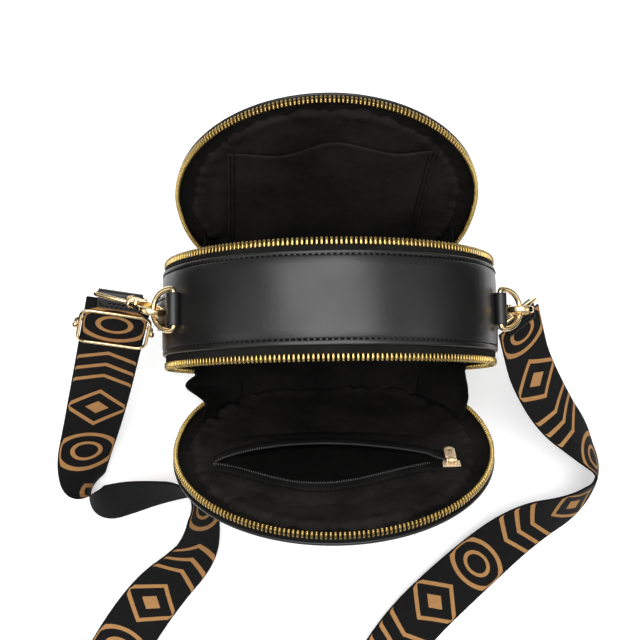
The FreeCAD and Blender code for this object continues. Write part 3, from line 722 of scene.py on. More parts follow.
def makeInside():
    depth = bag["leather"] + bag["board"]
    reach = bag["halfBand"] + insideShape["reach"]

    def lining(u, v):
        angle = roundAngle(u)
        x, y, z = outward(angle) * insideShape["foldAround"]
        fold = insideShape["fold"] * wobble(x, v * insideShape["foldAcross"], z, insideShape["foldScale"])
        return onBand(angle, depth + insideShape["off"] + abs(fold), between(-reach, reach, v))

    def wall(u, v):
        angle = roundAngle(u)
        r = rimRadius(angle, depth + bag["lining"], bag["flat"]) * v
        x, z = r * cos(angle), r * sin(angle)
        y = insideShape["wallSway"] * wobble(x, 0.1, z, insideShape["wallScale"])
        return Vector((x, y * ease((1 - v) * insideShape["wallRun"]), bag["centreZ"] + z))

    sheetPiece("bandLining", (insideShape["around"], insideShape["liningAcross"]), lining, bag["clothWall"],
               liningCloth, "bag_body", ["gusset_lining", "gusset_stiffener"])
    sheetPiece("compartmentWall", (insideShape["around"], insideShape["wallAcross"]), wall,
               insideShape["wall"], liningCloth, "bag_body", ["compartment_divider"])
    print("inside made")


makeInside()

# Leather hinge under each panel, and the cloth that covers it inside
hingeShape = dict(steps=(60, 10), thickness=0.0012, startIn=0.0004, knee=0.0045, endIn=0.0004)
coverShape = dict(steps=(70, 14), thickness=0.0006, over=0.06, startInset=0.0050, start=0.004,
                  kneeInset=0.0064, knee=0.006, endInset=0.0140, endOff=0.0010, swell=0.0012,
                  waveAlong=9, waveAcross=2)
# Cloth wings beside each opening
wingShape = dict(low=radians(66), high=radians(21), steps=(30, 26), thickness=0.0006, inner=0.0874,
                 tucked=0.0896, foot=0.0850, footOff=0.0006, ruffle=0.0012, clear=0.03, start=0.0085,
                 tuck=0.003, tuckShare=0.25, tuckRun=0.35, leanFrom=0.5, leanRun=0.4, ruffleAlong=5,
                 ruffleAcross=3)
# How far each wing leans in along its length: one, two and three half waves
wingFolds = {"frontLeft": (-0.0005, -0.0048, -0.0030), "frontRight": (-0.0035, 0.0004, 0.0),
             "backLeft": (0.0010, -0.0012, 0.0), "backRight": (0.0010, 0.0012, 0.0)}


def makeBridge(side):
    panel, body, rimQ = panels[side], side + "_panel", panelRimQ(side)
    half, sign = bag["leather"] / 2, panel["sign"]
    first, last = pi + bag["tapeEnd"], 2 * pi - bag["tapeEnd"]

    def strip(u, v):
        angle = between(first, last, u)
        start = onBand(angle, half, sign * (bag["halfBand"] - hingeShape["startIn"]))
        knee = onBand(angle, half, sign * (bag["halfBand"] + hingeShape["knee"]))
        return bentOver(start, knee, onPanelRim(side, angle, half, rimQ + hingeShape["endIn"]), v)

    def cover(u, v):
        angle = between(first - coverShape["over"], last + coverShape["over"], u)
        start = onBand(angle, coverShape["startInset"], sign * (bag["halfBand"] - coverShape["start"]))
        knee = onBand(angle, coverShape["kneeInset"], sign * (bag["halfBand"] + coverShape["knee"]))
        end = onPanelRim(side, angle, coverShape["endInset"], panel["liningQ"] + coverShape["endOff"])
        wave = wobble(u * coverShape["waveAlong"], v * coverShape["waveAcross"], 0, 1.0)
        return bentOver(start, knee, end, v) + Vector((0, 0, coverShape["swell"] * sin(pi * v) * (1 + wave)))

    leather = sheetPiece(side + "HingeLeather", hingeShape["steps"], strip, hingeShape["thickness"],
                         leatherBlack, None, [side + "_hinge_strip"], 40)
    start = onBand(-pi / 2, half, sign * bag["halfBand"])
    end = onPanelRim(side, -pi / 2, half, rimQ)
    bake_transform(leather)
    # The cloth over the hinge takes the darker lining copy: painted shade
    cloth = sheetPiece(side + "HingeLining", coverShape["steps"], cover, coverShape["thickness"],
                       shadedLiningCloth, None)
    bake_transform(cloth)


def makeWing(side, hand, turn):
    outer = bag["radius"] - bag["leather"] - bag["board"] - bag["lining"] - wingShape["thickness"]
    sign, tuckShare = panels[side]["sign"], wingShape["tuckShare"]

    def along(angle, r, y):
        return Vector((turn * r * cos(angle), sign * y, bag["centreZ"] + r * sin(angle)))

    def footAt(angle):
        foot, q = wingShape["foot"], panels[side]["liningQ"] + wingShape["footOff"]
        return onPanel(side, turn * foot * cos(angle), bag["centreZ"] + foot * sin(angle), q)

    def place(u, v):
        angle = -between(wingShape["low"], wingShape["high"], u)
        inner = between(wingShape["tucked"], wingShape["inner"], ease(u / wingShape["tuckRun"]))
        edge = along(angle, inner, bag["halfBand"] + wingShape["start"])
        if v < tuckShare:
            return along(angle, outer, bag["halfBand"] - wingShape["tuck"]).lerp(edge, v / tuckShare)
        share = (v - tuckShare) / (1 - tuckShare)
        inward = Vector((-turn * cos(angle), 0, -sin(angle)))
        past = max(share - wingShape["clear"], 0) / (1 - wingShape["clear"])
        lean = sum(fold * sin(pi * (k + 1) * past) for k, fold in enumerate(wingFolds[side + hand]))
        wave = wobble(share * wingShape["ruffleAlong"], u * wingShape["ruffleAcross"], turn * 2, 1.0)
        lean += wingShape["ruffle"] * sin(pi * past) * wave
        lean *= ease((u - wingShape["leanFrom"]) / wingShape["leanRun"])
        return edge.lerp(footAt(angle), share) + inward * lean

    # The solids name left and right from outside their own panel
    node = side + ("_left_wing" if sign * turn > 0 else "_right_wing")
    # The wing takes the darker lining copy: painted shade
    wing = sheetPiece(side + hand + "Wing", wingShape["steps"], place, wingShape["thickness"], shadedLiningCloth,
                      None, [node])
    middle = -(wingShape["low"] + wingShape["high"]) / 2
    start = along(middle, wingShape["inner"], bag["halfBand"] + wingShape["start"])
    footAt(middle)
    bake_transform(wing)


for panelSide in panels:
    makeBridge(panelSide)
    makeWing(panelSide, "Left", -1)
    makeWing(panelSide, "Right", 1)
print("bridges made")

# Zip pocket on the front lining: two lips that gape, an inside painted dark as shade, coils and sewn lines
lips = {
    "near": dict(node="pocket_lower_zip", way=-1, open=0.0103, stand=0.0068, fade=0.034, skew=0.81,
                 power=0.78),
    "far": dict(node="pocket_upper_zip", way=1, open=0.0235, stand=0.0010, fade=0.022, skew=0.83,
                power=2.0),
}
lipCloth = dict(around=90, flapAcross=16, flap=0.0006, tapeAcross=5, tape=0.0005, tapeLift=0.0006,
                tapePast=0.0006, coilLift=0.0009, coilPast=0.0003, coilBack=0.003, seamPast=0.0012,
                coilSize=(0.80, 0.62, 1.6, 1))
pouch = dict(steps=(60, 14), thickness=0.0005, lift=0.0016, nearPast=0.010, farPast=0.003, endDeep=0.003,
             endFrom=0.8, ripple=0.0008, rippleAlong=7, rippleAcross=3)


def mouthX(u):
    return between(pocket["left"], pocket["half"], u)


def lipArch(lip, x):
    # How far a lip has bowed open at x, most of it left of the middle
    share = min(max((x - pocket["left"]) / (pocket["half"] - pocket["left"]), 0), 1)
    return sin(pi * share ** lips[lip]["skew"]) ** lips[lip]["power"]


def lipPoint(lip, x, back, lift=0.0):
    # A point on a lip of the mouth; back is the distance from its edge, away from the mouth
    shape = lips[lip]
    arch = lipArch(lip, x)
    share = x / pocket["half"]
    z = pocket["z"] + shape["way"] * (shape["open"] * arch + back)
    fade = ease(1 - back / shape["fade"])
    sink = max(easePast(back / shape["fade"], pocket["backFrom"]), easePast(-share, pocket["endFrom"]),
               ease((share - pocket["parkFrom"]) / pocket["parkRun"]))
    stand = shape["stand"] * arch * fade + between(pocket["rest"], -pocket["sunk"], sink)
    return onPanel("front", x, z, panels["front"]["liningQ"] - stand - lift)


def makeLip(lip):
    shape, body = lips[lip], "front_panel"

    def flap(u, v):
        return lipPoint(lip, mouthX(u), v * shape["fade"])

    def tape(u, v):
        return lipPoint(lip, mouthX(u), v * pocket["tape"] - lipCloth["tapePast"], lipCloth["tapeLift"])

    def seam(u, lift):
        return lipPoint(lip, mouthX(u), pocket["tape"] + lipCloth["seamPast"], lipCloth["tapeLift"] + lift)

    def coilPlace(x):
        spot = lipPoint(lip, x, -lipCloth["coilPast"], lipCloth["coilLift"])
        back = lipPoint(lip, x, lipCloth["coilBack"], lipCloth["coilLift"])
        up = lipPoint(lip, x, 0, probe) - lipPoint(lip, x, 0)
        return frameOf(spot, back - spot, up) @ Matrix.Diagonal(lipCloth["coilSize"])

    cover = sheetPiece(lip + "Flap", (lipCloth["around"], lipCloth["flapAcross"]), flap, lipCloth["flap"],
                       liningCloth, body)
    strip = sheetPiece(lip + "ZipTape", (lipCloth["around"], lipCloth["tapeAcross"]), tape, lipCloth["tape"],
                       tapeCloth, body, [shape["node"]])
    count = int((pocket["half"] - pocket["left"]) / pocket["coilPitch"])
    places = [coilPlace(pocket["left"] + pocket["coilPitch"] * (i + 0.5)) for i in range(count)]
    coil = copiesOf(lip + "Coil", stitchShape, places)
    # The coil's grey stands in for its highlights: painted highlight
    dress(coil, coilWithPaintedHighlight, body, angle=180)
    sewn = sewLine(lip + "PocketSeam", shares(120), seam, body, stitchSizes["finePitch"])
    return [cover, strip, coil, sewn]


def makePocket():
    def inside(u, v):
        x = mouthX(u)
        low = pocket["z"] - lips["near"]["open"] * lipArch("near", x) - pouch["nearPast"]
        high = pocket["z"] + lips["far"]["open"] * lipArch("far", x) + pouch["farPast"]
        deep = panels["front"]["liningQ"] - pouch["lift"]
        deep += pouch["endDeep"] * easePast(abs(x) / pocket["half"], pouch["endFrom"])
        deep -= pouch["ripple"] * wobble(u * pouch["rippleAlong"], v * pouch["rippleAcross"], 0.2, 1.0)
        return onPanel("front", x, between(low, high, v), deep)

    # The pocket's inside is painted dark for the shade in its mouth
    loose = [sheetPiece("pocketInside", pouch["steps"], inside, pouch["thickness"], pocketShadeCloth,
                        "front_panel", ["pocket_bag"])]
    for lip in lips:
        loose += makeLip(lip)
    # Each loose piece of the pocket gets a mesh of its own
    middle = mouthX(0.5)
    for piece in loose:
        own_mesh(piece)
    print("zip pocket made")


makePocket()

# Slip pocket on the back lining, with a slack top edge
slip = dict(steps=(60, 40), leftTop=-0.0577, leftBottom=-0.0650, rightTop=0.0640, rightBottom=0.0562,
            top=0.1430, bottom=0.0524, middle=0.52, rise=0.0085, peak=0.20, stand=0.0032, off=0.0026,
            waver=0.0010, waverAlong=5, humpShare=0.8, humpWave=0.4, humpAlong=4, thickness=0.0008,
            seamLift=0.0006, bottomSeam=0.015)
# Sewn lines down the sides, at shares of the width, and one along the bottom
slipSides = {"slipLeftSeam": 0.012, "slipLeftInnerSeam": 0.032, "slipRightSeam": 0.988,
             "slipRightInnerSeam": 0.968}


def slipPoint(u, v, lift=0.0):
    left = between(slip["leftBottom"], slip["leftTop"], v)
    right = between(slip["rightBottom"], slip["rightTop"], v)
    off = u - slip["middle"]
    edge = slip["waver"] * wobble(u * slip["waverAlong"], 0.4, 0, 1.0)
    edge += slip["rise"] * exp(-(off / slip["peak"]) ** 2)
    z = between(slip["bottom"], slip["top"], v) + v ** 2 * edge
    share = u / slip["middle"] if off < 0 else (1 - u) / (1 - slip["middle"])
    hump = slip["humpShare"] + slip["humpWave"] * wobble(u * slip["humpAlong"], v, 0.7, 1.0)
    hump *= sin(pi * share) ** 2
    q = panels["back"]["liningQ"] - slip["off"] - slip["stand"] * v ** 3 * hump - lift
    return onPanel("back", between(left, right, u), z, q)


def makeSlipPocket():
    def sewn(spot, lift):
        return slipPoint(*spot, slip["seamLift"] + lift)

    sheetPiece("slipPocket", slip["steps"], slipPoint, slip["thickness"], liningCloth, "back_panel",
               ["slip_pocket"])
    lines = {name: [(u, v) for v in shares(60)] for name, u in slipSides.items()}
    lines["slipBottomSeam"] = [(u, slip["bottomSeam"]) for u in shares(60)]
    for name, spots in lines.items():
        sewLine(name, spots, sewn, "back_panel", stitchSizes["finePitch"])
    print("slip pocket made")


makeSlipPocket()

# Small metal parts, from the solids with their edges eased; angles in degrees
castShape = dict(edge=0.0003, stopEdge=0.0002, pinEdge=0.0001, weld=1e-5, flatWithin=0.5, sharpPast=42,
                 smoothWithin=48)


def castCopy(node, name, body, finish, edge=castShape["edge"]):
    obj = addObject(name, frame["nodes"][node].data.copy())
    tidyMesh(obj, castShape["weld"])
    openMesh(obj)
    bpy.ops.mesh.dissolve_limited(angle_limit=radians(castShape["flatWithin"]))
    closeMesh()
    easeEdges(obj, edge, castShape["sharpPast"])
    applyAll(obj)
    dress(obj, finish, body, [node], castShape["smoothWithin"])


for panelSide in panels:
    for kind in ("slider", "pull"):
        node = f"{panelSide}_zip_{kind}"
        castCopy(node, panelSide + kind.title(), node, goldTeeth)
for panelSide in panels:
    castCopy(panelSide + "_zip_stop", panelSide + "ZipStop", "bag_body", goldTeeth,
             castShape["stopEdge"])
for kind in ("slider", "pull"):
    castCopy("pocket_" + kind, "pocket" + kind.title(), "pocket_" + kind, goldSatin)
for hand in ("left", "right"):
    castCopy(hand + "_clasp_gate", hand + "Gate", hand + "_clasp_gate", goldPale)
for hand in ("left", "right"):
    castCopy(hand + "_gate_pin", hand + "GatePin", hand + "_clasp", goldPale,
             castShape["pinEdge"])
print("small hardware made")

# Leather tabs that hold the rings
tab = dict(halfWidth=0.00875, thickness=0.0015, tail=0.034, underShare=0.9, wire=0.0015, gap=0.0002,
           steps=(10, 60), rim=0.0003, liftFrom=0.35, bendFrom=0.55, bendTo=0.8, layerGap=0.0002,
           seatGap=0.0001, seamIn=0.0018, seamTo=0.36, seamPitch=0.0028)
ringAngles = {"left": radians(180 - 33), "right": radians(18)}


def makeTab(side, angle, turn):
    seat = bag["radius"] + tab["wire"] + tab["gap"] + tab["thickness"]
    bend = tab["wire"] + tab["gap"] + tab["thickness"] / 2
    centre, out = atAngle(angle, seat), outward(angle)
    down = Vector((-sin(angle), 0, cos(angle))) * turn

    def path(v):
        # Up the band from the tail, round the ring's bar, and back under
        if v < tab["bendFrom"]:
            a = angle + turn * tab["tail"] * (1 - v / tab["bendFrom"]) / bag["radius"]
            low = bag["radius"] + tab["thickness"] * 1.5 + tab["layerGap"]
            lift = ease((v - tab["liftFrom"]) / (tab["bendFrom"] - tab["liftFrom"]))
            return atAngle(a, between(low, seat + bend, lift))
        share = (v - tab["bendFrom"]) / (tab["bendTo"] - tab["bendFrom"])
        if share <= 1:
            a = pi * share
            return centre + out * (bend * cos(a)) - down * (bend * sin(a))
        along = tab["tail"] * tab["underShare"] * (v - tab["bendTo"]) / (1 - tab["bendTo"])
        r = bag["radius"] + tab["thickness"] / 2 + tab["seatGap"]
        return atAngle(angle + turn * along / bag["radius"], r)

    def place(u, v):
        point = path(v)
        return Vector((point.x, (u * 2 - 1) * tab["halfWidth"], point.z))

    sheetPiece(side + "RingTab", tab["steps"], place, tab["thickness"], leatherEdge, "bag_body",
               [side + "_ring_tab"], 50, tab["rim"])
    for name, edge in (("Front", -1), ("Back", 1)):

        def sewn(share, lift):
            point = path(share * tab["seamTo"])
            normal = (point - Vector((0, 0, bag["centreZ"]))).normalized()
            point.y = edge * (tab["halfWidth"] - tab["seamIn"])
            return point + normal * (tab["thickness"] / 2 + lift)

        sewLine(side + "TabSeam" + name, shares(60), sewn, "bag_body", tab["seamPitch"])


makeTab("left", ringAngles["left"], 1)
makeTab("right", ringAngles["right"], -1)
print("ring tabs made")

# Strap: the route's points steer one smooth line, and a second line gives the edge
# Each row is a point of the route and the way across the strap there
strapShape = dict(width=0.036, thickness=0.0016, inset=0.0045, edgeOut=0.01, smooth=14)
strapRoute = [
    (-0.1171, 0.0079, 0.1142, 0.93, -0.14, -0.27),
    (-0.1261, -0.0110, 0.0913, 0.93, -0.14, -0.27),
    (-0.1380, -0.0360, 0.0610, 0.93, -0.14, -0.27),
    (-0.1500, -0.0630, 0.0340, 0.84, -0.12, -0.53),
    (-0.1580, -0.0830, 0.0226, 0.65, -0.30, -0.69),
    (-0.1590, -0.1030, 0.0186, 0.42, -0.50, -0.76),
    (-0.1470, -0.1120, 0.0176, 0.15, -0.64, -0.76),
    (-0.1310, -0.1080, 0.0166, 0.00, -0.63, -0.78),
    (-0.1150, -0.1050, 0.0170, 0.00, -0.48, -0.88),
    (-0.0940, -0.1030, 0.0190, 0.10, -0.30, -0.95),
    (-0.0820, -0.1130, 0.0190, 0.35, -0.15, -0.92),
    (-0.0820, -0.1290, 0.0180, 0.50, -0.05, -0.87),
    (-0.0890, -0.1480, 0.0140, 0.68, -0.35, -0.65),
    (-0.1130, -0.1690, 0.0090, 0.80, -0.50, -0.35),
    (-0.1370, -0.2020, 0.0050, 0.83, -0.55, -0.12),
    (-0.1580, -0.2410, 0.0050, 0.96, -0.25, 0.12),
    (-0.1600, -0.2880, 0.0090, 0.89, 0.25, 0.38),
    (-0.1320, -0.3250, 0.0110, 0.53, 0.70, 0.48),
    (-0.0880, -0.3380, 0.0110, 0.00, 0.88, 0.48),
    (-0.0450, -0.3250, 0.0100, -0.47, 0.80, 0.40),
    (-0.0130, -0.2900, 0.0080, -0.75, 0.60, 0.30),
    (0.0150, -0.2460, 0.0050, -0.82, 0.55, 0.15),
    (0.0430, -0.1990, 0.0040, -0.71, 0.71, 0.08),
    (0.0860, -0.1600, 0.0050, -0.66, 0.73, 0.15),
    (0.1230, -0.1300, 0.0100, -0.58, 0.68, 0.45),
    (0.1560, -0.1170, 0.0170, -0.30, 0.40, 0.86),
    (0.1740, -0.0970, 0.0200, -0.20, 0.05, 0.98),
    (0.1590, -0.0750, 0.0280, -0.62, -0.25, 0.74),
    (0.1380, -0.0560, 0.0420, -0.76, -0.36, 0.54),
    (0.1210, -0.0310, 0.0620, -0.74, -0.54, 0.40),
    (0.1154, -0.0158, 0.0730, -0.74, -0.54, 0.40),
    (0.1109, -0.0027, 0.0828, -0.74, -0.54, 0.40),
]


def linePoints(points):
    # Points read from a smooth spline that the given points steer
    curve = bpy.data.curves.new("line", "CURVE")
    curve.dimensions = "3D"
    curve.resolution_u = strapShape["smooth"]
    spline = curve.splines.new("NURBS")
    spline.points.add(len(points) - 1)
    for spot, point in zip(spline.points, points):
        spot.co = (*point, 1)
    spline.order_u = 3
    spline.use_endpoint_u = True
    obj = addObject("line", curve)
    mesh = bpy.data.meshes.new_from_object(obj)
    found = [vert.co.copy() for vert in mesh.vertices]
    drop(obj)
    return found


def strapLine():
    # Rows of place, way along, way across, way up, and length so far
    middle = linePoints([Vector(row[:3]) for row in strapRoute])
    edge = linePoints([Vector(row[:3]) + Vector(row[3:]) * strapShape["edgeOut"] for row in strapRoute])
    rows, last, run = [], len(middle) - 1, 0.0
    for i, point in enumerate(middle):
        way = (middle[min(i + 1, last)] - middle[max(i - 1, 0)]).normalized()
        across = squareTo(edge[i] - point, way)
        if i:
            run += (point - middle[i - 1]).length
        rows.append((point, way, across, way.cross(across), run))
    return rows


strapRows = strapLine()

# The webbing's section, once round: printed side first, then the plain side
sectionShares = [-1, -0.97, -0.9, -0.6, -0.3, 0, 0.3, 0.6, 0.9, 0.97, 1]
sectionRound = 0.94


def sectionPoint(v):
    steps = len(sectionShares) - 1
    place = v * 2 * steps
    low = int(min(place, 2 * steps - 1))
    part = place - low

    def share(k):
        return sectionShares[k] if k <= steps else sectionShares[2 * steps - k]

    over = share(low) * (1 - part) + share(low + 1) * part
    past = max(0.0, (abs(over) - sectionRound) / (1 - sectionRound))
    thin = 0.5 * sqrt(max(0.0, 1 - past ** 2))
    return over, thin if v < 0.5 else -thin


def makeStrap():
    last = len(strapRows) - 1
    width = strapShape["width"]

    def place(u, v):
        point, way, across, up, run = strapRows[int(round(u * last))]
        over, thin = sectionPoint(v)
        return point + across * (over * width / 2) + up * (thin * strapShape["thickness"])

    def uvPlace(u, v):
        return strapRows[int(round(u * last))][4] / width, v

    return gridPiece("strapWebbing", last, 2 * (len(sectionShares) - 1), place, uvPlace)


# The print, in strap widths: rings, chevrons and a diamond, one after the other
strapPrint = dict(tan=(0.48, 0.250, 0.095), ground=(0.0035, 0.0033, 0.0033), worn=(0.0125, 0.0118, 0.0118),
                  period=1.02, line=0.036, rings=(0.36, 0.17), innerLine=0.75, chevrons=(-0.34, -0.06, 0.22),
                  slope=0.55, chevronHalf=0.37, chevronLine=1.1, diamond=0.40, diamondLine=1.25,
                  diamondTall=1.12, middle=0.15, inkDark=0.72, inkLight=1.12)
webbingGrain = dict(base=(0.012, 0.012, 0.0125), roughness=0.8, specular=0.12, rib=0.0011, warp=1.4,
                    crossing=0.5, weaveSpan=1.5, weaveShare=0.6, slub=260, slubShare=0.4, bump=0.5,
                    deep=0.00018)


def webbingFinish():
    # Ribbed charcoal webbing with a plain tan geometric print on one side
    grain, tan = webbingGrain, strapPrint["tan"]
    finish, tree, shader = newFinish("printed webbing", grain["base"], grain["roughness"],
                                     specular=grain["specular"])
    uv = tree.nodes.new("ShaderNodeTexCoord").outputs["UV"]
    along, around = addNode(tree, "ShaderNodeSeparateXYZ", {"Vector": uv}).outputs[:2]
    across = minus(times(around, 2.0), 0.5)
    top = sums("LESS_THAN", around, 0.5)
    turns = sums("DIVIDE", along, strapPrint["period"])
    cell = sums("FLOOR", turns)
    x = times(minus(turns, plus(cell, 0.5)), strapPrint["period"])
    kind = sums("FLOORED_MODULO", cell, 3.0)
    line = strapPrint["line"]
    tall, wide = sums("ABSOLUTE", across), sums("ABSOLUTE", x)

    def stroke(value, at, half):
        return sums("LESS_THAN", sums("ABSOLUTE", minus(value, at)), half)

    # A ring round a smaller ring
    radius = sums("SQRT", plus(times(x, x), times(across, across)))
    outer, inner = strapPrint["rings"]
    rings = either(stroke(radius, outer, line), stroke(radius, inner, line * strapPrint["innerLine"]))
    # Three chevrons, one after the other
    lean = times(tall, strapPrint["slope"])
    bold = line * strapPrint["chevronLine"]
    arms = [stroke(minus(x, at), lean, bold) for at in strapPrint["chevrons"]]
    chevrons = either(either(arms[0], arms[1]), arms[2])
    chevrons = times(chevrons, sums("LESS_THAN", tall, strapPrint["chevronHalf"]))
    # A diamond with a filled middle
    lozenge = plus(wide, times(tall, strapPrint["diamondTall"]))
    filled = sums("LESS_THAN", lozenge, strapPrint["middle"])
    bold = line * strapPrint["diamondLine"]
    diamond = either(stroke(lozenge, strapPrint["diamond"], bold), filled)
    pattern = times(rings, sums("COMPARE", kind, 0.0))
    pattern = plus(pattern, times(chevrons, sums("COMPARE", kind, 1.0)))
    pattern = plus(pattern, times(diamond, sums("COMPARE", kind, 2.0)))
    pattern = times(pattern, top)
    # The weave under it: ribs across the strap, crossed by the warp
    ribTurns = 2 * pi * strapShape["width"] / grain["rib"]
    ribs = sums("SINE", times(along, ribTurns))
    warp = sums("SINE", times(across, ribTurns * grain["warp"]))
    weave = plus(ribs, times(times(ribs, warp), grain["crossing"]))
    slub = mottle(place3d(tree), grain["slub"])
    shade = spread(weave, 0.0, grain["weaveShare"], -grain["weaveSpan"], grain["weaveSpan"])
    shade = plus(shade, times(slub, grain["slubShare"]))
    ground = tint(shade, strapPrint["ground"], strapPrint["worn"])
    ink = tint(shade, [c * strapPrint["inkDark"] for c in tan], [c * strapPrint["inkLight"] for c in tan])
    mixed = addNode(tree, "ShaderNodeMix", {0: pattern, 6: ground, 7: ink}, data_type="RGBA")
    link(mixed.outputs[2], shader.inputs["Base Color"])
    bumpUp(weave, shader, grain["bump"], grain["deep"])
    return finish


strapPiece = makeStrap()
strapNodes = ["strap_left_run", "strap_front_loop", "strap_right_run"]
dress(strapPiece, webbingFinish(), "bag_body", strapNodes, 180)

# Leather ends of the strap, each a strip folded round its loop's bar
strapEnd = dict(width=0.0245, length=0.009, leather=0.0014, bore=0.00125, gap=0.00105, steps=(14, 40),
                bendShare=0.2, closeRun=2.5, rim=0.0003, taper=0.05, seamIn=0.0022, seamNear=0.0045,
                seamFar=0.002)


def endFrame(side):
    # The bar that a strap end folds round, then the ways along the strap, across it and up from it
    a, b = (0, 1) if side == "left" else (-1, -2)
    first = Vector(strapRoute[a][:3])
    way = (Vector(strapRoute[b][:3]) - first).normalized()
    across = squareTo(Vector(strapRoute[a][3:]), way)
    return first - way * strapShape["inset"], way, across, way.cross(across)


def makeStrapEnd(side):
    bar, way, across, up = endFrame(side)
    mid, length = strapEnd["leather"] / 2, strapEnd["length"]
    bend, flat = strapEnd["bore"] + mid, strapEnd["gap"] + mid

    def toWorld(x, y, z):
        return bar + across * x + up * y + way * z

    def place(u, v):
        # Along one layer to the bar, round it, and back along the other layer
        off = 0.5 - v
        if abs(off) <= strapEnd["bendShare"] / 2:
            a = pi * (0.5 - off / strapEnd["bendShare"])
            y, z = bend * cos(a), -bend * sin(a)
        else:
            share = (2 * abs(off) - strapEnd["bendShare"]) / (1 - strapEnd["bendShare"])
            y = copysign(between(flat, bend, ease(1 - share * strapEnd["closeRun"])), off)
            z = length * share
        return toWorld((u - 0.5) * strapEnd["width"] * (1 - strapEnd["taper"] * ease(z / length)), y, z)

    made = [sheetPiece(side + "StrapEnd", strapEnd["steps"], place, strapEnd["leather"], leatherEdge,
                       "bag_body", [side + "_strap_end"], 50, strapEnd["rim"])]
    rim = strapEnd["width"] / 2 - strapEnd["seamIn"]
    near, far = strapEnd["seamNear"], length - strapEnd["seamFar"]
    corners = [Vector(c) for c in ((-rim, near), (-rim, far), (rim, far), (rim, near), (-rim, near))]
    spots = [a.lerp(b, k / 8) for a, b in zip(corners, corners[1:]) for k in range(8)]
    for name, layer in (("Top", 1), ("Under", -1)):

        def sewn(spot, lift):
            return toWorld(spot.x, layer * (flat + mid + lift), spot.y)

        made.append(sewLine(side + "EndSeam" + name, spots, sewn, "bag_body", stitchSizes["finePitch"]))
    return made


# Rings, clasps and the strap's slide: bent wires, cast hooks and turned barrels, placed by their joints
joints = {joint["name"]: joint for joint in frame["joints"]}
wireSteps = dict(bend=6, around=3)


def wirePiece(name, corners, radius, rounding=0.0, closed=True):
    # A thread of edges with rounded corners, then given its thickness
    mesh = bpy.data.meshes.new(name)
    count = len(corners)
    mesh.from_pydata(corners, [(i, (i + 1) % count) for i in range(count if closed else count - 1)], [])
    obj = addObject(name, mesh)
    pick(obj)
    if rounding:
        openMesh(obj)
        bpy.ops.mesh.bevel(offset=rounding, segments=wireSteps["bend"], affect="VERTICES")
        closeMesh()
    bpy.ops.object.convert(target="CURVE")
    obj = bpy.context.object
    obj.data.bevel_depth = radius
    obj.data.bevel_resolution = wireSteps["around"]
    obj.data.use_fill_caps = not closed
    bpy.ops.object.convert(target="MESH")
    tidyMesh(obj)
    return obj


castRound = dict(power=0.62, turnedSteps=28)


def squarish(value):
    # Draws a round section out towards its corners
    return copysign(abs(value) ** castRound["power"], value)


def loftPiece(name, stations, steps, shape):
    # Sections along Z, each (height, half width, half thickness)
    last = len(stations) - 1

    def place(u, v):
        height, wide, thick = stations[int(round(v * last))]
        angle = 2 * pi * u
        return Vector((wide * shape(cos(angle)), thick * shape(sin(angle)), height))

    return gridPiece(name, steps, last, place)


def plain(value):
    return value


def turned(name, stations):
    return loftPiece(name, [(height, radius, radius) for height, radius in stations],
                     castRound["turnedSteps"], plain)


def joinPieces(name, parts):
    pick(parts[0])
    for part in parts:
        part.select_set(True)
    bpy.ops.object.join()
    obj = bpy.context.object
    obj.name = obj.data.name = name
    return obj


ringShape = dict(wire=0.0015, half=0.0110, leg=0.0027, corner=0.0021, fall=radians(30), steps=24)


def makeRing(side, turn):
    half, corner, steps = ringShape["half"], ringShape["corner"], ringShape["steps"]
    quarter = [pi / 2 * k / 5 for k in range(6)]
    bend = [(corner - corner * cos(a), half - corner + corner * sin(a)) for a in quarter]
    turns = [pi * k / steps for k in range(steps + 1)]
    bow = [(ringShape["leg"] + half * sin(a), half * cos(a)) for a in turns]
    outline = bend + bow + [(out, -y) for out, y in reversed(bend)]
    seat = Vector(joints[side + "_ring_swing"]["pos_m"])
    fall = Vector((turn * cos(ringShape["fall"]), 0, -sin(ringShape["fall"])))
    corners = [seat + fall * out + Vector((0, y, 0)) for out, y in outline]
    ring = wirePiece(side + "Ring", corners, ringShape["wire"])
    dress(ring, goldPale, side + "_d_ring", [side + "_d_ring"], 60)


# The hook's bar round its eye, the shouldered body, and the stem with its head
claspShape = dict(eye=0.0062, halfWide=0.0014, halfThick=0.0020, straight=0.0130, tip=0.16, capRun=0.0016,
                  thinner=0.12, slot=(0.0026, 0.0012, 0.0150), loopWire=0.0012, loopPast=0.00145,
                  shoulder=0.0050, knee=0.0046, collarAt=0.0186, corner=0.0018, barSteps=(20, 60),
                  bodySteps=32)
bodyStations = [(0.0096, 0, 0), (0.0096, 0.0064, 0.0017), (0.0101, 0.0072, 0.0020), (0.0109, 0.0076, 0.0021),
                (0.0130, 0.0075, 0.0022), (0.0143, 0.0064, 0.0025), (0.0152, 0.0046, 0.0028),
                (0.0156, 0.0036, 0.0030), (0.0160, 0.0036, 0.0030), (0.0162, 0.0032, 0.0027),
                (0.0165, 0.0032, 0.0027), (0.0167, 0.0036, 0.0030), (0.0170, 0.0036, 0.0030), (0.0170, 0, 0)]
stemStations = [(0.0165, 0), (0.0165, 0.0018), (0.0202, 0.0018), (0.0202, 0.0023), (0.0205, 0.0027),
                (0.0212, 0.0027), (0.0217, 0.0020), (0.0218, 0)]
collarStations = [(0.0173, 0.0020), (0.0173, 0.0030), (0.0175, 0.0033), (0.0179, 0.0033), (0.0181, 0.0029),
                  (0.0183, 0.0029), (0.0185, 0.0033), (0.0188, 0.0033), (0.0190, 0.0029), (0.0192, 0.0029),
                  (0.0194, 0.0033), (0.0197, 0.0033), (0.0199, 0.0030), (0.0199, 0.0020), (0.0173, 0.0020)]


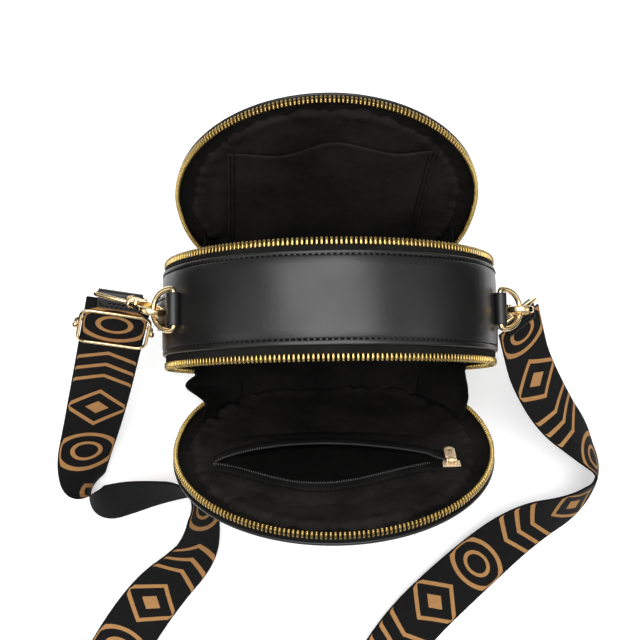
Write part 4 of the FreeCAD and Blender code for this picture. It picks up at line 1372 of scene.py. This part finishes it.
def makeHook(name):
    eye, straight = claspShape["eye"], claspShape["straight"]
    whole = straight + eye * (pi + claspShape["tip"])

    def place(u, v):
        run = v * whole
        if run < straight:
            out, centre = Vector((-1, 0, 0)), Vector((-eye, 0, straight - run))
        else:
            out = outward(pi + (run - straight) / eye)
            centre = out * eye
        left = max(0.0, 1 - (whole - run) / claspShape["capRun"])
        size = sqrt(max(0.0, 1 - left * left)) * (1 - claspShape["thinner"] * v)
        angle = 2 * pi * u
        thick = Vector((0, claspShape["halfThick"] * squarish(sin(angle)), 0))
        return centre + (out * (claspShape["halfWide"] * squarish(cos(angle))) + thick) * size

    bar = gridPiece(name + "Bar", *claspShape["barSteps"], place)
    body = loftPiece(name + "Body", bodyStations, claspShape["bodySteps"], squarish)
    cutter = primitive(bpy.ops.mesh.primitive_cube_add, size=1)
    low, half, high = claspShape["slot"]
    for vert in cutter.data.vertices:
        x = low if vert.co.x < 0 else 2 * eye
        vert.co = Vector((x, 2 * half * vert.co.y, high if vert.co.z > 0 else 0))
    slot = body.modifiers.new("slot", "BOOLEAN")
    slot.operation = "DIFFERENCE"
    slot.object = cutter
    applyAll(body)
    drop(cutter)
    return joinPieces(name, [bar, body, turned(name + "Stem", stemStations)])


def makeClasp(side):
    joint = joints[side + "_clasp_swivel"]
    axis, eye = Vector(joint["axis"]).normalized(), Vector(joint["pos_m"])
    plane = squareTo(Vector((0, 1, 0)), axis)
    place = axesAt(eye, plane.cross(axis), plane, axis)
    hook = makeHook(side + "Hook")
    hook.data.transform(place)
    dress(hook, goldPale, side + "_clasp", [side + "_clasp_hook"], 35)
    bar, way, across, up = endFrame(side)
    collar = eye + axis * claspShape["collarAt"]
    shoulder = squareTo(across, axis) * claspShape["shoulder"]
    rise = squareTo(collar - bar, across) * claspShape["knee"]
    reach = across * (strapEnd["width"] / 2 + claspShape["loopPast"])
    corners = [collar - shoulder, bar - reach + rise, bar - reach,
               bar + reach, bar + reach + rise, collar + shoulder]
    loop = wirePiece(side + "LoopWire", corners, claspShape["loopWire"], claspShape["corner"])
    barrel = turned(side + "Collar", collarStations)
    barrel.data.transform(place)
    loop = joinPieces(side + "Loop", [loop, barrel])
    dress(loop, goldPale, "bag_body", [side + "_swivel_loop"], 35)


slideShape = dict(half=0.0194, rise=0.0026, long=0.0128, wire=0.00095, corner=0.0050, barHalf=0.0214,
                  barCorner=0.0014, ball=0.0017, ballLong=1.2, reach=0.0205)


def makeSlide():
    # A wire frame over the webbing and a bar under it, with a ball at each of the bar's ends
    way = endFrame("left")[1]
    across = squareTo(Vector(strapRoute[1][3:]), way)
    place = axesAt(Vector(strapRoute[0][:3]) + way * slideShape["reach"], across, way.cross(across), way)
    half, rise, long = slideShape["half"], slideShape["rise"], slideShape["long"]
    corners = [(-half, rise, -long), (half, rise, -long), (half, rise, long), (-half, rise, long)]
    wire = wirePiece("adjusterFrame", corners, slideShape["wire"], slideShape["corner"])
    half = slideShape["barHalf"]
    bends = [(-half, rise, 0), (-half, -rise, 0), (half, -rise, 0), (half, rise, 0)]
    parts = [wirePiece("adjusterRod", bends, slideShape["wire"], slideShape["barCorner"], False)]
    for end in (bends[0], bends[3]):
        ball = primitive(bpy.ops.mesh.primitive_uv_sphere_add, segments=16, ring_count=10,
                         radius=slideShape["ball"])
        ball.data.transform(Matrix.Translation(end) @ Matrix.Diagonal((1, 1, slideShape["ballLong"], 1)))
        parts.append(ball)
    rod = joinPieces("adjusterBar", parts)
    for piece, node in ((wire, "adjuster_frame"), (rod, "adjuster_bar")):
        piece.data.transform(place)
        dress(piece, goldPale, "strap_adjuster", [node], 60)
    return [wire, rod]


makeRing("left", -1)
makeRing("right", 1)
makeClasp("left")
makeClasp("right")
print("rings and clasps made")
strapFittings = makeStrapEnd("left") + makeStrapEnd("right") + makeSlide()
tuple(strapRows[0][0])
print("strap made")

drop(stitchShape)
drop(tooth)

# Camera at the photograph's place: almost straight down
view = dict(eye=(-0.0056, -0.0540, 0.6705), pitch=radians(84.86), roll=radians(-0.83), focal=1006.5,
            image=640, sensor=36, nearest=0.01)


def makeCamera():
    pitch, roll = view["pitch"], view["roll"]
    ahead = Vector((0, cos(pitch), -sin(pitch)))
    right = Vector((1, 0, 0))
    up = right.cross(ahead)
    data = bpy.data.cameras.new("camera")
    data.sensor_width = view["sensor"]
    data.lens = view["focal"] * view["sensor"] / view["image"]
    data.clip_start = view["nearest"]
    obj = addObject("camera", data)
    obj.matrix_world = axesAt(view["eye"], right * cos(roll) + up * sin(roll),
                              up * cos(roll) - right * sin(roll), -ahead)
    bpy.context.scene.camera = obj


# Pale table and soft studio light
studio = dict(floor=14.0, table=(0.9, 0.9, 0.9), farTable=(0.40, 0.40, 0.40), glow=0.38, nearBy=0.40,
              farOff=1.8, horizon=0.12, zenith=0.55, aim=(0, -0.05, 0.08), keyPower=20.0, keySize=1.3,
              keyPlace=(-0.04, 0.05, 1.35), sidePower=2.0, sideSize=0.8, leftPlace=(-1.3, -0.3, 0.9),
              rightPlace=(1.3, -0.2, 0.9), flagOut=0.25, flagLong=0.26, flagTall=0.17,
              card=(0.004, 0.004, 0.004), cardRough=0.9, tableRough=0.6, skyFrom=0.1)


def makeTable():
    floor = primitive(bpy.ops.mesh.primitive_plane_add, size=studio["floor"])
    floor.name = "table"
    finish, tree, shader = newFinish("table white", studio["table"], studio["tableRough"])
    ray = tree.nodes.new("ShaderNodeLightPath").outputs
    seen = either(either(ray["Is Camera Ray"], ray["Is Glossy Ray"]), ray["Is Transmission Ray"])
    shader.inputs["Emission Color"].default_value = (1, 1, 1, 1)
    away = addNode(tree, "ShaderNodeVectorMath", {0: place3d(tree)}, operation="LENGTH").outputs["Value"]
    # The table's colour and its glow fade from near the bag outwards, towards farTable: painted fall-off of
    # light
    near = spread(away, 1, 0, studio["nearBy"], studio["farOff"])
    tint(near, studio["farTable"], studio["table"], shader)
    link(times(seen, times(near, studio["glow"])), shader.inputs["Emission Strength"])
    floor.data.materials.append(finish)


def makeFlags():
    # Dark cards at both sides, as set beside glossy black goods; only the reflections show them
    finish, tree, shader = newFinish("black card", studio["card"], studio["cardRough"], specular=0)
    for name, side in (("leftFlag", -1), ("rightFlag", 1)):
        flag = primitive(bpy.ops.mesh.primitive_plane_add, size=1)
        flag.name = name
        for vert in flag.data.vertices:
            vert.co = Vector((side * studio["flagOut"], vert.co.y * studio["flagLong"],
                              (vert.co.x + 0.5) * studio["flagTall"]))
        flag.data.materials.append(finish)
        flag.visible_camera = flag.visible_diffuse = flag.visible_shadow = False


def makeLights():
    world = bpy.data.worlds.new("studio")
    world.use_nodes = True
    sky = world.node_tree
    where = sky.nodes.new("ShaderNodeTexCoord").outputs["Generated"]
    way = addNode(sky, "ShaderNodeSeparateXYZ", {0: where})
    background = sky.nodes["Background"].inputs
    background["Color"].default_value = (1, 1, 1, 1)
    strength = spread(way.outputs[2], studio["horizon"], studio["zenith"], studio["skyFrom"], 1.0)
    link(strength, background["Strength"])
    bpy.context.scene.world = world
    for name, kind in (("key", "key"), ("left", "side"), ("right", "side")):
        data = bpy.data.lights.new(name, "AREA")
        data.size = studio[kind + "Size"]
        data.energy = studio[kind + "Power"]
        obj = addObject(name, data)
        obj.location = studio[name + "Place"]
        aim = Vector(studio["aim"]) - obj.location
        obj.rotation_euler = aim.to_track_quat("-Z", "Y").to_euler()


makeCamera()
makeTable()
makeFlags()
makeLights()
bpy.context.scene.view_settings.view_transform = "Standard"
print("studio made")
